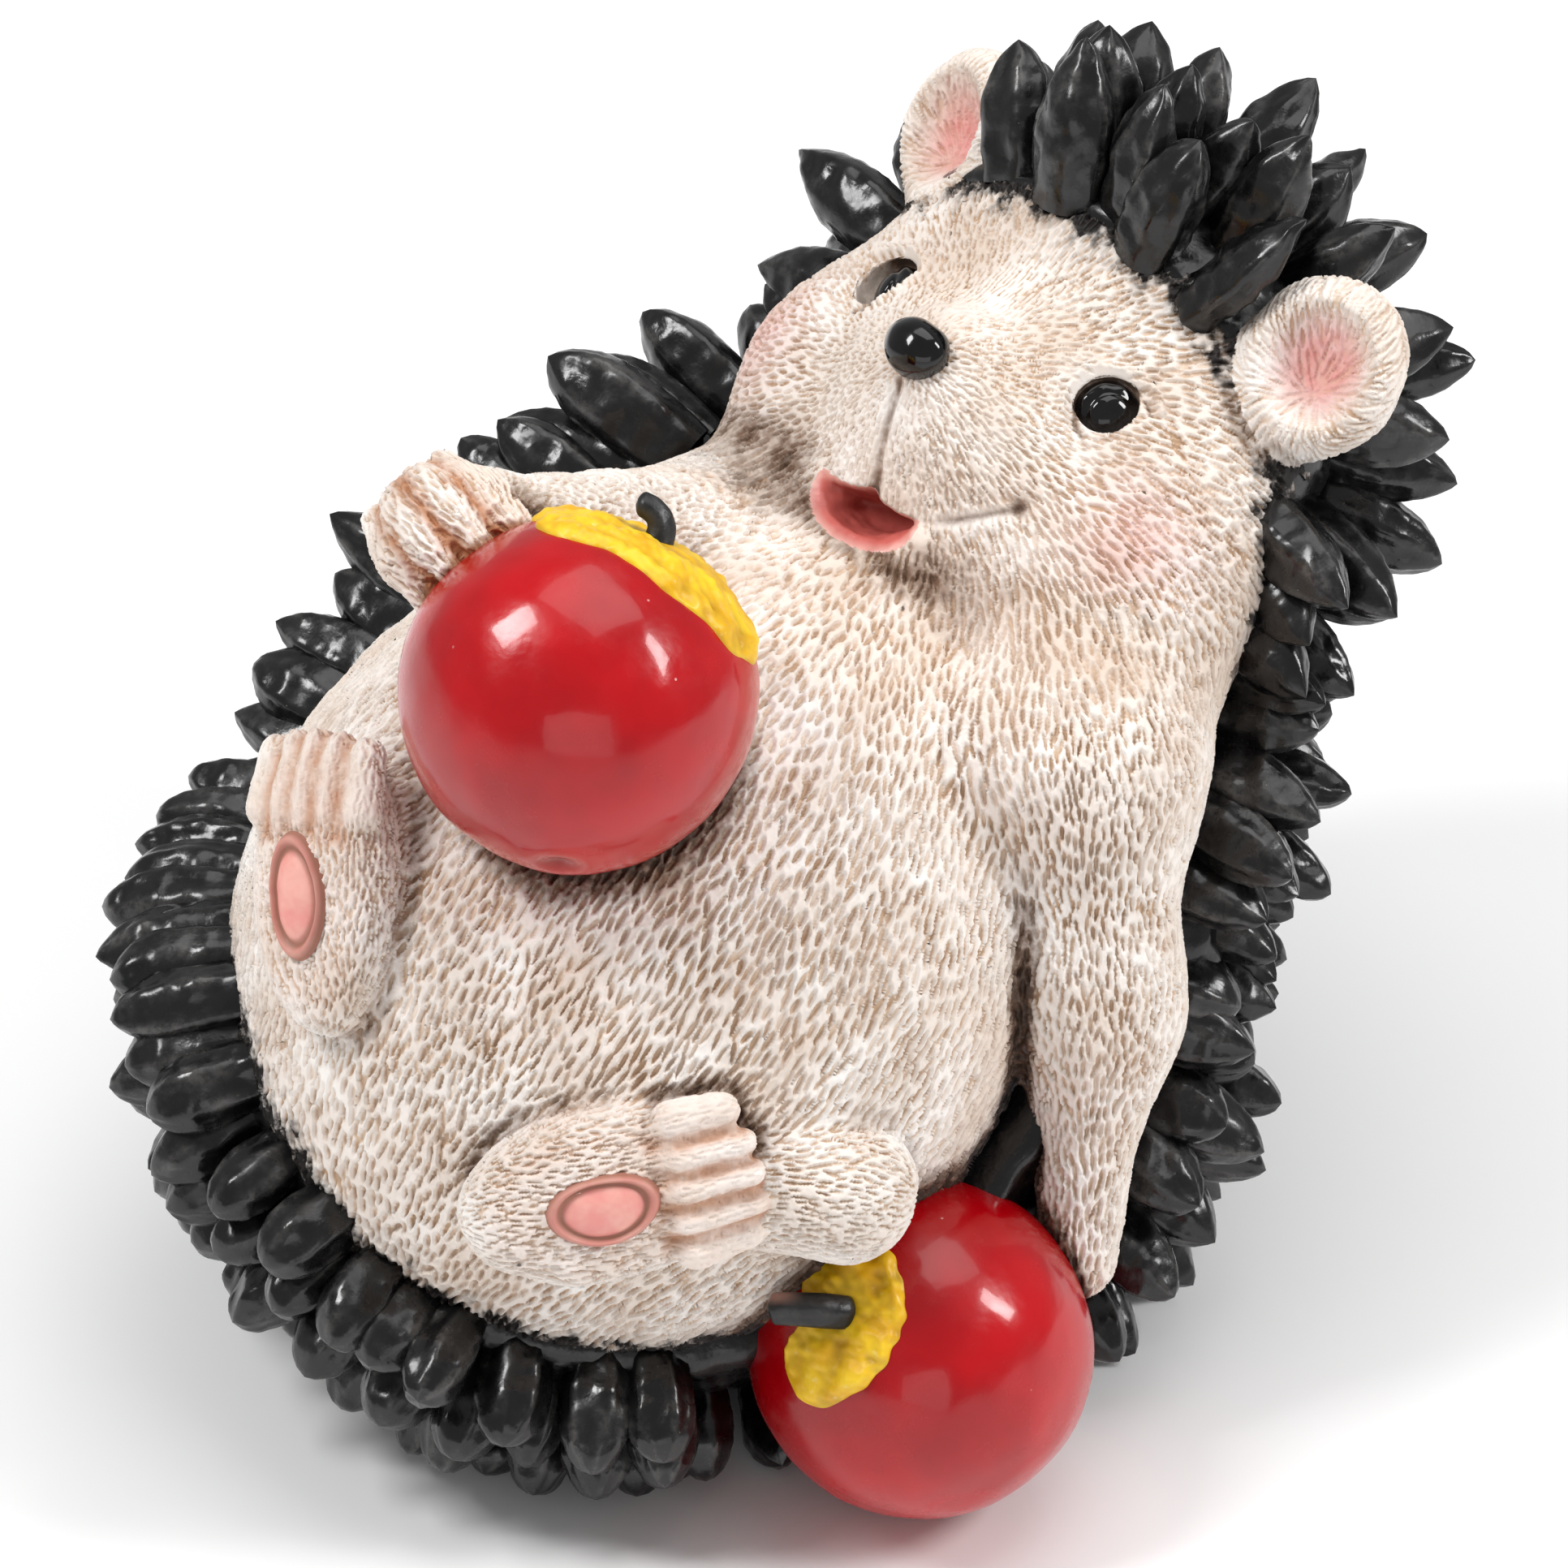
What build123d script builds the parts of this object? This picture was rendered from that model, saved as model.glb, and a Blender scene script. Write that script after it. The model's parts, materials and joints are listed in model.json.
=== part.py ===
from build123d import *
import math
import os

# Reclining hedgehog figurine holding one apple, with a second apple beside it.
# Millimetres, +Z up. The figurine faces -Y, its left side is +X, and it rests
# on the flat underside of its quill coat and on the second apple.

# ---------------------------------------------------------------- dimensions
RECLINE = 39.0             # slope of the rump-to-neck line above the floor, degrees
ROLL = 14.0                # how far the belly turns towards the left side, degrees
FACE_UP = 27.6             # how far the face looks above the horizontal, degrees

TORSO_C = (0.0, 0.0, 40.0)             # middle of the belly ball
TORSO_R = (34.4, 38.0, 34.4)           # half width, half length, half thickness
CHEST_AT = (0.0, 24.0, -7.0)           # chest ball, in torso axes
CHEST_R = (25.0, 17.5, 17.5)

HEAD_C = (2.3, 42.1, 78.6)
SKULL_AT, SKULL_R = (0.0, -10.0, 0.5), (22.8, 15.5, 22.8)     # side, forward, up
CHEEK_AT, CHEEK_R = (15.0, -2.0, -8.0), 12.3
MUZZLE_AT, MUZZLE_R = (0.0, 1.0, -7.0), 12.9
SNOUT_AT, SNOUT_R = (0.0, 6.0, -2.0), 8.5
NOSE_AT, NOSE_R = (0.0, 14.4, 1.8), (3.0, 2.6, 2.6)
EYE_AT, EYE_R = (12.4, 2.7, 3.6), (2.7, 2.7, 2.7)
MOUTH_AT, MOUTH_R = (0.0, 10.6, -12.0), (3.6, 3.6, 3.6)
EAR_AT, EAR_R = (22.6, -10.6, 14.0), (7.5, 3.6, 7.5)
EAR_DISH, EAR_DISH_R = 2.6, 7.0        # depth of the hollow in each ear and radius of its floor
HEAD_BACK = -13.0                      # the head ends here and the coat begins, along its forward axis

ARM_R_SHOULDER, ARM_R_WRIST = (-14.0, 22.0, 60.0), (-4.0, -10.5, 84.6)
ARM_R_RADII = (8.2, 5.0)
PAW_R_C, PAW_R_R = (-7.0, -15.6, 86.6), 6.3
ARM_L_SHOULDER, ARM_L_ELBOW, ARM_L_HAND = (29.0, 25.6, 58.9), (36.0, 21.0, 40.6), (40.0, 13.0, 19.5)
ARM_L_RADII = (8.5, 7.3, 3.5)

LEG_L_KNEE, LEG_L_ANKLE, LEG_L_R = (32.5, -4.6, 37.4), (25.5, -19.8, 39.0), (6.5, 5.8)
FOOT_L_C, FOOT_L_AIM, FOOT_L_SOLE = (23.5, -27.4, 39.9), (0.62, 0.77, 0.17), (0.78, -0.56, 0.28)
FOOT_R_C, FOOT_R_AIM, FOOT_R_SOLE = (-6.0, -31.5, 58.3), (-0.39, 0.44, 0.81), (0.08, -0.91, 0.40)
FOOT_HEEL, FOOT_BALL = (-6.6, 5.8), (4.6, 6.6)     # place along the foot, radius
FOOT_SOLE = 4.6                        # height of the flat sole above the foot's middle
LEG_R_HIP, LEG_R_ANKLE, LEG_R_R = (-7.5, -19.8, 48.9), (-9.1, -25.5, 58.7), (9.0, 6.6)
PAD_R, PAD_T, PAD_PROUD = (4.8, 2.9), 1.4, 0.6      # sole pad half sizes, thickness, height above the sole

APPLE_HELD_C, APPLE_HELD_R = (9.6, -16.9, 79.0), 15.0
APPLE_REST_C, APPLE_REST_R = (35.5, -1.4, 15.0), 15.0
LEAF_T = 0.7                           # thickness of the leaf scraps on the apples
STEM_R = 1.0

# cross-sections of the coat from rump to crown, in torso axes:
# place along the body, middle (side, belly), half sizes (side, belly)
COAT_SECTIONS = [
    (-41.0, 0.0, -6.0, 7.0, 6.0),
    (-34.0, 0.0, -8.0, 21.0, 19.0),
    (-22.0, 1.0, -11.0, 31.0, 29.0),
    (-5.0, 2.0, -13.5, 37.0, 37.0),
    (12.0, 3.0, -14.0, 36.0, 37.0),
    (28.0, 3.0, -12.0, 32.5, 30.0),
    (44.0, 4.0, -12.0, 28.5, 21.5),
    (58.0, 4.5, -11.0, 26.0, 16.0),
    (70.0, 4.0, -7.0, 22.5, 13.0),
    (79.0, 3.0, -3.0, 14.0, 9.0),
    (83.0, 3.0, -1.0, 5.0, 4.0),
]
NECK_AT = 47.0                         # the head's notch in the coat begins here, along the body
COAT_SEAM = -5.0                       # fur-to-quill seam, measured along the belly normal

QUILL_L, QUILL_R = 10.5, 2.6           # length outside the coat, greatest radius
QUILL_SINK = 1.0                       # how deep a root stands in the coat
QUILL_PITCH = 7.2                      # least distance between two roots

# --------------------------------------------------------------------- frames
_r, _l, _f = math.radians(ROLL), math.radians(RECLINE), math.radians(FACE_UP)
ALONG = Vector(0, math.cos(_l), math.sin(_l))                       # rump to neck
BELLY = Vector(math.sin(_r), -math.sin(_l) * math.cos(_r), math.cos(_l) * math.cos(_r))
SIDE = ALONG.cross(BELLY)
FORWARD = Vector(0, -math.cos(_f), math.sin(_f))                    # where the face looks
CROWN = Vector(0, math.sin(_f), math.cos(_f))
LEFT = Vector(1, 0, 0)


def torso_point(x, l, m):
    return Vector(*TORSO_C) + SIDE * x + ALONG * l + BELLY * m


def head_point(x, f, u):
    return Vector(*HEAD_C) + LEFT * x + FORWARD * f + CROWN * u


def torso_plane(x, l, m):
    return Plane(origin=torso_point(x, l, m), x_dir=SIDE, z_dir=BELLY)


def head_plane(x, f, u):
    return Plane(origin=head_point(x, f, u), x_dir=LEFT, z_dir=CROWN)


def ellipsoid(plane, radii):
    """Closed ellipsoid of revolution, its semi-axes along the plane's x, y and z.

    Two of the three semi-axes are equal; the third one is the axis of revolution."""
    a, b, c = radii
    if a == b == c:
        return plane * Sphere(a, mode=Mode.PRIVATE)
    if b == c:
        turned, across, along = Plane(origin=plane.origin, x_dir=plane.y_dir, z_dir=plane.x_dir), b, a
    elif a == c:
        turned, across, along = Plane(origin=plane.origin, x_dir=plane.x_dir, z_dir=plane.y_dir), a, b
    else:
        turned, across, along = plane, a, c
    big = 4 * (across + along)
    with BuildPart() as body:
        with BuildSketch(Plane.XZ):
            Ellipse(across, along)
            Rectangle(big, big, align=(Align.MAX, Align.CENTER), mode=Mode.SUBTRACT)
        revolve(axis=Axis.Z)
    return turned * body.part


def limb(start, end, r_start, r_end):
    """Solid of revolution between two round ends joined by a tangent cone."""
    a, b = Vector(*start), Vector(*end)
    length = (b - a).length
    s = (r_start - r_end) / length
    c = math.sqrt(1 - s * s)
    side = Vector(0, 0, 1).cross(b - a)
    frame = Plane(origin=a, x_dir=side.normalized(), z_dir=(b - a).cross(side) * -1)
    if frame.y_dir.dot(b - a) < 0:
        frame = Plane(origin=a, x_dir=side.normalized(), z_dir=(b - a).cross(side))
    with BuildPart() as body:
        with BuildSketch(frame):
            with BuildLine():
                p0, p1 = (0, -r_start), (r_start * c, r_start * s)
                p2, p3 = (r_end * c, length + r_end * s), (0, length + r_end)
                h0 = math.radians(-90 + (math.degrees(math.asin(s)) + 90) / 2)
                h1 = math.radians(math.degrees(math.asin(s)) + (90 - math.degrees(math.asin(s))) / 2)
                ThreePointArc(p0, (r_start * math.cos(h0), r_start * math.sin(h0)), p1)
                Line(p1, p2)
                ThreePointArc(p2, (r_end * math.cos(h1), length + r_end * math.sin(h1)), p3)
                Line(p3, p0)
            make_face()
        revolve(axis=Axis(a, b - a))
    return body.part


def largest(builder):
    """The biggest solid of a cut, without any slivers left beside it."""
    return builder.part.solids().sort_by(SortBy.VOLUME)[-1]


def finish(builder, name):
    builder.part.label = name
    export_step(builder.part, f"parts/{name}.step")


os.makedirs("parts", exist_ok=True)

# --------------------------------------------------------- apples (solid balls)
apple_rest_ball = Pos(*APPLE_REST_C) * Sphere(APPLE_REST_R)
apple_held_ball = Pos(*APPLE_HELD_C) * Sphere(APPLE_HELD_R)

STEM_HELD_DIR = (0.05, 0.55, 0.83)
STEM_REST_DIR = (0.46, -0.88, 0.10)

# ---------------------------------------------------------------- whole figures
# the raw masses, cut against each other below so that neighbours meet face to face
torso_ball = ellipsoid(torso_plane(0, -1.5, 0), TORSO_R)
chest_ball = ellipsoid(torso_plane(*CHEST_AT), CHEST_R)

# the head's back plane stands square to the torso's side axis
BACKWARD = (SIDE * FORWARD.dot(SIDE) - FORWARD).normalized()
head_back = Plane(origin=head_point(0, HEAD_BACK, 0), x_dir=SIDE, z_dir=BACKWARD)
skull = ellipsoid(head_plane(*SKULL_AT), SKULL_R)
head_balls = [(head_point(*MUZZLE_AT), MUZZLE_R), (head_point(-CHEEK_AT[0], *CHEEK_AT[1:]), CHEEK_R),
              (head_point(*CHEEK_AT), CHEEK_R), (head_point(*SNOUT_AT), SNOUT_R)]

with BuildPart() as head_mass:
    add(skull)
    for centre, radius in head_balls:
        with Locations(centre):
            Sphere(radius)
    with BuildSketch(head_back):
        Rectangle(120, 120)
    extrude(amount=60, mode=Mode.SUBTRACT)

nose_ball = ellipsoid(head_plane(*NOSE_AT), NOSE_R)
eye_l_ball = ellipsoid(head_plane(EYE_AT[0], *EYE_AT[1:]), EYE_R)
eye_r_ball = ellipsoid(head_plane(-EYE_AT[0], *EYE_AT[1:]), EYE_R)
mouth_ball = ellipsoid(head_plane(*MOUTH_AT), MOUTH_R)

# ------------------------------------------------------------- the coat's front
# line of the head's back plane, seen in the torso's length-and-belly plane
def back_line(l):
    """Belly coordinate of the head's back plane at a place along the body."""
    o = head_point(0, HEAD_BACK, 0) - torso_point(0, l, 0)
    return o.dot(BACKWARD) / BELLY.dot(BACKWARD)


side_plane = Plane(origin=torso_point(-60, 0, 0), x_dir=ALONG, z_dir=SIDE)
belly_sign = 1 if side_plane.y_dir.dot(BELLY) > 0 else -1

# everything in front of this prism's lower side is fur, everything behind is coat
with BuildPart() as front_side:
    with BuildSketch(side_plane):
        with BuildLine():
            Polyline([(l, belly_sign * m) for l, m in
                      ((-90, COAT_SEAM), (NECK_AT, COAT_SEAM), (NECK_AT, back_line(NECK_AT)),
                       (110, back_line(110)), (110, 120), (-90, 120))], close=True)
        make_face()
    extrude(amount=120)

# ------------------------------------------------------------------------- head
with BuildPart() as head:
    add(head_mass.part)
    # the coat's shoulder behind the neck
    with BuildSketch(side_plane):
        with BuildLine():
            Polyline([(l, belly_sign * m) for l, m in
                      ((-20, COAT_SEAM), (NECK_AT, COAT_SEAM), (NECK_AT, -80), (-20, -80))], close=True)
        make_face()
    extrude(amount=120, mode=Mode.SUBTRACT)
    add([nose_ball, eye_l_ball, eye_r_ball, mouth_ball], mode=Mode.SUBTRACT)
finish(head, "head")

with BuildPart() as nose:
    add(nose_ball)
finish(nose, "nose")

with BuildPart() as eye_left:
    add(eye_l_ball)
finish(eye_left, "eye_left")

with BuildPart() as eye_right:
    add(eye_r_ball)
finish(eye_right, "eye_right")

# the mouth's pink lining fills its pocket flush with the muzzle
with BuildPart() as mouth:
    add(mouth_ball)
    add(head_mass.part, mode=Mode.INTERSECT)
finish(mouth, "mouth")


ear_blanks = {s: ellipsoid(head_plane(s * EAR_AT[0], *EAR_AT[1:]), EAR_R) for s in (-1, 1)}
ear_dish_at = {s: head_point(s * (EAR_AT[0] + 0.3), EAR_AT[1] + EAR_R[1] + EAR_DISH_R - EAR_DISH, EAR_AT[2] + 0.5)
               for s in (-1, 1)}

# round cupped ears, dished towards the front
with BuildPart() as ear_left_cut:
    add(ear_blanks[1])
    with Locations(ear_dish_at[1]):
        Sphere(EAR_DISH_R, mode=Mode.SUBTRACT)
    add(head_mass.part, mode=Mode.SUBTRACT)
    with BuildSketch(head_back):
        Rectangle(120, 120)
    extrude(amount=60, mode=Mode.SUBTRACT)

with BuildPart() as ear_left:
    add(largest(ear_left_cut))
finish(ear_left, "ear_left")

with BuildPart() as ear_right_cut:
    add(ear_blanks[-1])
    with Locations(ear_dish_at[-1]):
        Sphere(EAR_DISH_R, mode=Mode.SUBTRACT)
    add(head_mass.part, mode=Mode.SUBTRACT)
    with BuildSketch(head_back):
        Rectangle(120, 120)
    extrude(amount=60, mode=Mode.SUBTRACT)

with BuildPart() as ear_right:
    add(largest(ear_right_cut))
finish(ear_right, "ear_right")

# ------------------------------------------------------------------------ torso
# the belly and chest end at the seam plane, where the coat takes over
with BuildPart() as torso:
    add(torso_ball)
    add(chest_ball)
    with BuildSketch(torso_plane(0, 0, COAT_SEAM)):
        Rectangle(240, 240)
    extrude(amount=-120, mode=Mode.SUBTRACT)
    add(head_mass.part, mode=Mode.SUBTRACT)
    add(apple_rest_ball, mode=Mode.SUBTRACT)
    add(apple_held_ball, mode=Mode.SUBTRACT)
finish(torso, "torso")

# --------------------------------------------------------------------- forelegs
arm_r_raw = limb(ARM_R_SHOULDER, ARM_R_WRIST, *ARM_R_RADII)
arm_l_upper = limb(ARM_L_SHOULDER, ARM_L_ELBOW, ARM_L_RADII[0], ARM_L_RADII[1])
arm_l_lower = limb(ARM_L_ELBOW, ARM_L_HAND, ARM_L_RADII[1], ARM_L_RADII[2])
finger_raw = [
    limb((PAW_R_C[0] - 4.5 + 2.8 * i, PAW_R_C[1] - 3.0 + 0.4 * i, PAW_R_C[2] + 3.0),
         (PAW_R_C[0] - 3.1 + 2.8 * i, PAW_R_C[1] - 5.5 + 0.7 * i, PAW_R_C[2] + 0.5), 2.3, 2.0)
    for i in range(4)
]

with BuildPart() as paw_right:
    with Locations(Location(PAW_R_C, (0, 0, 180))):
        Sphere(PAW_R_R)
    add(finger_raw)
    add(apple_held_ball, mode=Mode.SUBTRACT)
finish(paw_right, "paw_right")

with BuildPart() as arm_right_cut:
    add(arm_r_raw)
    add([torso.part, head_mass.part, paw_right.part, apple_held_ball], mode=Mode.SUBTRACT)
    with BuildSketch(torso_plane(0, 0, COAT_SEAM)):
        Rectangle(240, 240)
    extrude(amount=-120, mode=Mode.SUBTRACT)

with BuildPart() as arm_right:
    add(largest(arm_right_cut))
finish(arm_right, "arm_right")

with BuildPart() as arm_left_cut:
    add([arm_l_upper, arm_l_lower])
    add([torso.part, head_mass.part, apple_rest_ball], mode=Mode.SUBTRACT)

with BuildPart() as arm_left:
    add(largest(arm_left_cut))
finish(arm_left, "arm_left")


# --------------------------------------------------------------------- hind legs
def foot_planes(centre, aim, sole):
    n = Vector(*sole).normalized()
    a = Vector(*aim) - n * Vector(*aim).dot(n)
    return Plane(origin=centre, x_dir=a.normalized(), z_dir=n)


def foot_limbs(plane):
    """Heel-to-ball body of a foot and its four toes."""
    out = [limb(tuple(plane.from_local_coords((FOOT_HEEL[0], 0, 0))),
                tuple(plane.from_local_coords((FOOT_BALL[0], 0, 0))), FOOT_HEEL[1], FOOT_BALL[1])]
    for i in range(4):
        off = -4.5 + 3.0 * i
        out.append(limb(tuple(plane.from_local_coords((6.5, off, 1.6))),
                        tuple(plane.from_local_coords((10.8, off * 1.05, 2.6))), 1.9, 1.7))
    return out


sole_l = foot_planes(FOOT_L_C, FOOT_L_AIM, FOOT_L_SOLE)
sole_r = foot_planes(FOOT_R_C, FOOT_R_AIM, FOOT_R_SOLE)
limbs_l, limbs_r = foot_limbs(sole_l), foot_limbs(sole_r)

with BuildPart() as foot_l_mass:
    add(limbs_l[0])
    with BuildSketch(sole_l.offset(FOOT_SOLE)):
        Rectangle(60, 60)
    extrude(amount=20, mode=Mode.SUBTRACT)
    add(limbs_l[1:])

with BuildPart() as foot_r_mass:
    add(limbs_r[0])
    with BuildSketch(sole_r.offset(FOOT_SOLE)):
        Rectangle(60, 60)
    extrude(amount=20, mode=Mode.SUBTRACT)
    add(limbs_r[1:])

# oval pads let into the flat soles, their rims rounded
with BuildPart() as sole_pad_left:
    with BuildSketch(sole_l.offset(FOOT_SOLE + PAD_PROUD - PAD_T)):
        Ellipse(*PAD_R)
    extrude(amount=PAD_T)
    fillet(sole_pad_left.edges().sort_by(Axis(sole_l.origin, sole_l.z_dir))[-1], 0.4)
finish(sole_pad_left, "sole_pad_left")

with BuildPart() as sole_pad_right:
    with BuildSketch(sole_r.offset(FOOT_SOLE + PAD_PROUD - PAD_T)):
        Ellipse(*PAD_R)
    extrude(amount=PAD_T)
    fillet(sole_pad_right.edges().sort_by(Axis(sole_r.origin, sole_r.z_dir))[-1], 0.4)
finish(sole_pad_right, "sole_pad_right")

with BuildPart() as foot_left_cut:
    add(foot_l_mass.part)
    add([sole_pad_left.part, torso.part, apple_rest_ball], mode=Mode.SUBTRACT)

with BuildPart() as foot_left:
    add(largest(foot_left_cut))
finish(foot_left, "foot_left")

with BuildPart() as foot_right_cut:
    add(foot_r_mass.part)
    add([sole_pad_right.part, torso.part, apple_held_ball], mode=Mode.SUBTRACT)

with BuildPart() as foot_right:
    add(largest(foot_right_cut))
finish(foot_right, "foot_right")

leg_l_raw = limb(LEG_L_KNEE, LEG_L_ANKLE, *LEG_L_R)
leg_r_raw = limb(LEG_R_HIP, LEG_R_ANKLE, *LEG_R_R)

with BuildPart() as leg_left_cut:
    add(leg_l_raw)
    add([torso.part, foot_left.part, apple_rest_ball, arm_left.part], mode=Mode.SUBTRACT)

with BuildPart() as leg_left:
    add(largest(leg_left_cut))
finish(leg_left, "leg_left")

with BuildPart() as leg_right_cut:
    add(leg_r_raw)
    add([torso.part, foot_right.part, apple_held_ball], mode=Mode.SUBTRACT)

with BuildPart() as leg_right:
    add(largest(leg_right_cut))
finish(leg_right, "leg_right")

# ------------------------------------------------------------------------ apples


def leaf_plane(centre, direction, x_dir):
    n = Vector(*direction).normalized()
    x = Vector(*x_dir) - n * Vector(*x_dir).dot(n)
    return Plane(origin=centre, x_dir=x.normalized(), z_dir=n)


LEAF_OUTLINE = [(-7.6, -1.2), (-6.4, 2.2), (-3.0, 1.6), (-0.6, 3.6), (3.2, 2.4), (6.2, 4.0),
                (7.8, 1.0), (6.0, -1.6), (2.8, -1.2), (0.4, -3.4), (-3.2, -2.2), (-6.2, -3.4)]


def leaf(centre, radius, direction, x_dir, stretch):
    """Torn leaf scrap, a thin cap lying on the apple's skin."""
    frame = leaf_plane(centre, direction, x_dir)
    with BuildPart() as body:
        with BuildSketch(frame.offset(radius * 0.55)):
            with BuildLine():
                Spline(*[(x * stretch, y * stretch) for x, y in LEAF_OUTLINE], periodic=True)
            make_face()
        extrude(amount=radius)
        with Locations(centre):
            Sphere(radius + LEAF_T, mode=Mode.INTERSECT)
            Sphere(radius, mode=Mode.SUBTRACT)
    return body.part


stem_held_a = Vector(*APPLE_HELD_C) + Vector(*STEM_HELD_DIR).normalized() * (APPLE_HELD_R - 1.0)
stem_rest_a = Vector(*APPLE_REST_C) + Vector(*STEM_REST_DIR).normalized() * (APPLE_REST_R - 1.0)
stem_held_raw = limb(tuple(stem_held_a), tuple(stem_held_a + Vector(1.6, 0.6, 4.0)), STEM_R * 0.9, STEM_R)
stem_rest_raw = limb(tuple(stem_rest_a + Vector(-1.5, -0.6, -0.2)), tuple(stem_rest_a + Vector(2.8, -0.4, 0.6)),
                     STEM_R, STEM_R * 1.1)

leaf_held_raw = leaf(APPLE_HELD_C, APPLE_HELD_R, (0.30, 0.45, 0.84), (0.86, 0.3, -0.4), 1.25)
leaf_rest_raw = leaf(APPLE_REST_C, APPLE_REST_R, (0.10, -0.86, 0.38), (-0.25, 0.35, 0.90), 0.95)

with BuildPart() as stem_held:
    add(stem_held_raw)
finish(stem_held, "stem_held")

with BuildPart() as stem_resting:
    add(stem_rest_raw)
finish(stem_resting, "stem_resting")

with BuildPart() as leaf_held_cut:
    add(leaf_held_raw)
    add([stem_held_raw, torso.part, paw_right.part, arm_right.part], mode=Mode.SUBTRACT)

with BuildPart() as leaf_held:
    add(largest(leaf_held_cut))
finish(leaf_held, "leaf_held")

with BuildPart() as leaf_resting_cut:
    add(leaf_rest_raw)
    add([stem_rest_raw, torso.part, foot_left.part, leg_left.part], mode=Mode.SUBTRACT)

with BuildPart() as leaf_resting:
    add(largest(leaf_resting_cut))
finish(leaf_resting, "leaf_resting")

with BuildPart() as apple_held:
    with Locations(APPLE_HELD_C):
        Sphere(APPLE_HELD_R)
    add(stem_held_raw, mode=Mode.SUBTRACT)
finish(apple_held, "apple_held")

with BuildPart() as apple_resting:
    with Locations(APPLE_REST_C):
        Sphere(APPLE_REST_R)
    add(stem_rest_raw, mode=Mode.SUBTRACT)
finish(apple_resting, "apple_resting")

# ------------------------------------------------------------------- quill coat
with BuildPart() as coat_cut:
    for l, cx, cm, rx, rm in COAT_SECTIONS:
        with BuildSketch(Plane(origin=torso_point(cx, l, cm), x_dir=SIDE, z_dir=ALONG)):
            Ellipse(rx, rm)
    loft()
    add(front_side.part, mode=Mode.SUBTRACT)
    # flat underside
    with BuildSketch(Plane.XY):
        Rectangle(240, 240)
    extrude(amount=-60, mode=Mode.SUBTRACT)
    add(apple_rest_ball, mode=Mode.SUBTRACT)

with BuildPart() as coat_shell:
    add(largest(coat_cut))
    add(arm_l_upper, mode=Mode.SUBTRACT)
    add(arm_l_lower, mode=Mode.SUBTRACT)
finish(coat_shell, "coat_shell")

# ----------------------------------------------------------------------- quills
def coat_ring(l):
    """Middle and half sizes of the coat's cross-section at a place along the body."""
    rows = COAT_SECTIONS
    l = min(max(l, rows[0][0]), rows[-1][0])
    for lo, hi in zip(rows, rows[1:]):
        if l <= hi[0]:
            t = (l - lo[0]) / (hi[0] - lo[0])
            return tuple(a + (b - a) * t for a, b in zip(lo[1:], hi[1:]))
    return rows[-1][1:]


def coat_site(l, angle):
    """Point on the coat and its outward normal; angle 0 is the middle of the back."""

    def at(l, angle):
        cx, cm, rx, rm = coat_ring(l)
        return torso_point(cx + rx * math.sin(angle), l, cm - rm * math.cos(angle))

    p = at(l, angle)
    along = at(min(l + 1.0, 83.0), angle) - at(max(l - 1.0, -41.0), angle)
    around = at(l, angle + 0.02) - at(l, angle - 0.02)
    n = around.cross(along)
    if n.dot(p - torso_point(3, l, -9)) < 0:
        n = n * -1
    return p, n.normalized()


def quill_sites():
    sites = []
    for k in range(119 * 60):
        row, col = divmod(k, 60)
        p, n = coat_site(82.0 - row * 1.03, math.radians(-174 + col * 6 + (row * 37) % 6))
        t, h = p - Vector(*TORSO_C), p - Vector(*HEAD_C)
        l, m = t.dot(ALONG), t.dot(BELLY)
        f, u = h.dot(FORWARD), h.dot(CROWN)
        if l < NECK_AT and m > COAT_SEAM - 2.6:
            continue
        if l >= NECK_AT and (p - head_back.origin).dot(BACKWARD) < 4.8:
            continue
        if p.Z < 3.4 or n.Z < -0.93:
            continue
        aim = (n * 0.95 - ALONG * 0.18 + Vector(0, 0, 0.05)).normalized()
        if n.Z < -0.1:
            out = Vector(n.X, n.Y, 0).normalized()
            aim = (out + Vector(0, 0, max(n.Z * 0.5, -0.16))).normalized()
        length = QUILL_L if p.Z > 20 and l > -30 else 7.5
        if (p + aim * length).Z < 1.2:
            continue
        near_arm = min((p + aim * s - a).length
                       for s in (0.0, 5.0, 10.0)
                       for a in (Vector(*ARM_L_SHOULDER), Vector(*ARM_L_ELBOW), Vector(*ARM_L_HAND),
                                 (Vector(*ARM_L_SHOULDER) + Vector(*ARM_L_ELBOW)) * 0.5,
                                 (Vector(*ARM_L_ELBOW) + Vector(*ARM_L_HAND)) * 0.5))
        if near_arm < 11.5:
            continue
        if min((p + aim * s - Vector(*APPLE_REST_C)).length for s in (0.0, 4.0, 9.0)) < APPLE_REST_R + 3.2:
            continue
        if min((p + aim * s - head_point(e * EAR_AT[0], *EAR_AT[1:])).length
               for s in (0.0, 5.0, 10.0) for e in (-1, 1)) < 9.6:
            continue
        if any((p - q).length < QUILL_PITCH or (p + aim * 8 - q - a * 8).length < 5.0 for q, a, *_ in sites):
            continue
        sites.append((p, aim, length, l, m, u))
    return sites


def quill(length):
    """One fat leaf-shaped quill standing on the origin, with a blunt tip."""
    with BuildPart() as body:
        with BuildSketch(Plane.XZ):
            with BuildLine():
                Polyline((0, -QUILL_SINK), (QUILL_R * 0.62, -QUILL_SINK), (QUILL_R, length * 0.36),
                         (QUILL_R * 0.80, length * 0.72), (QUILL_R * 0.26, length * 0.97),
                         (0, length), (0, -QUILL_SINK))
            make_face()
        revolve(axis=Axis.Z)
    return body.part


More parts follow.
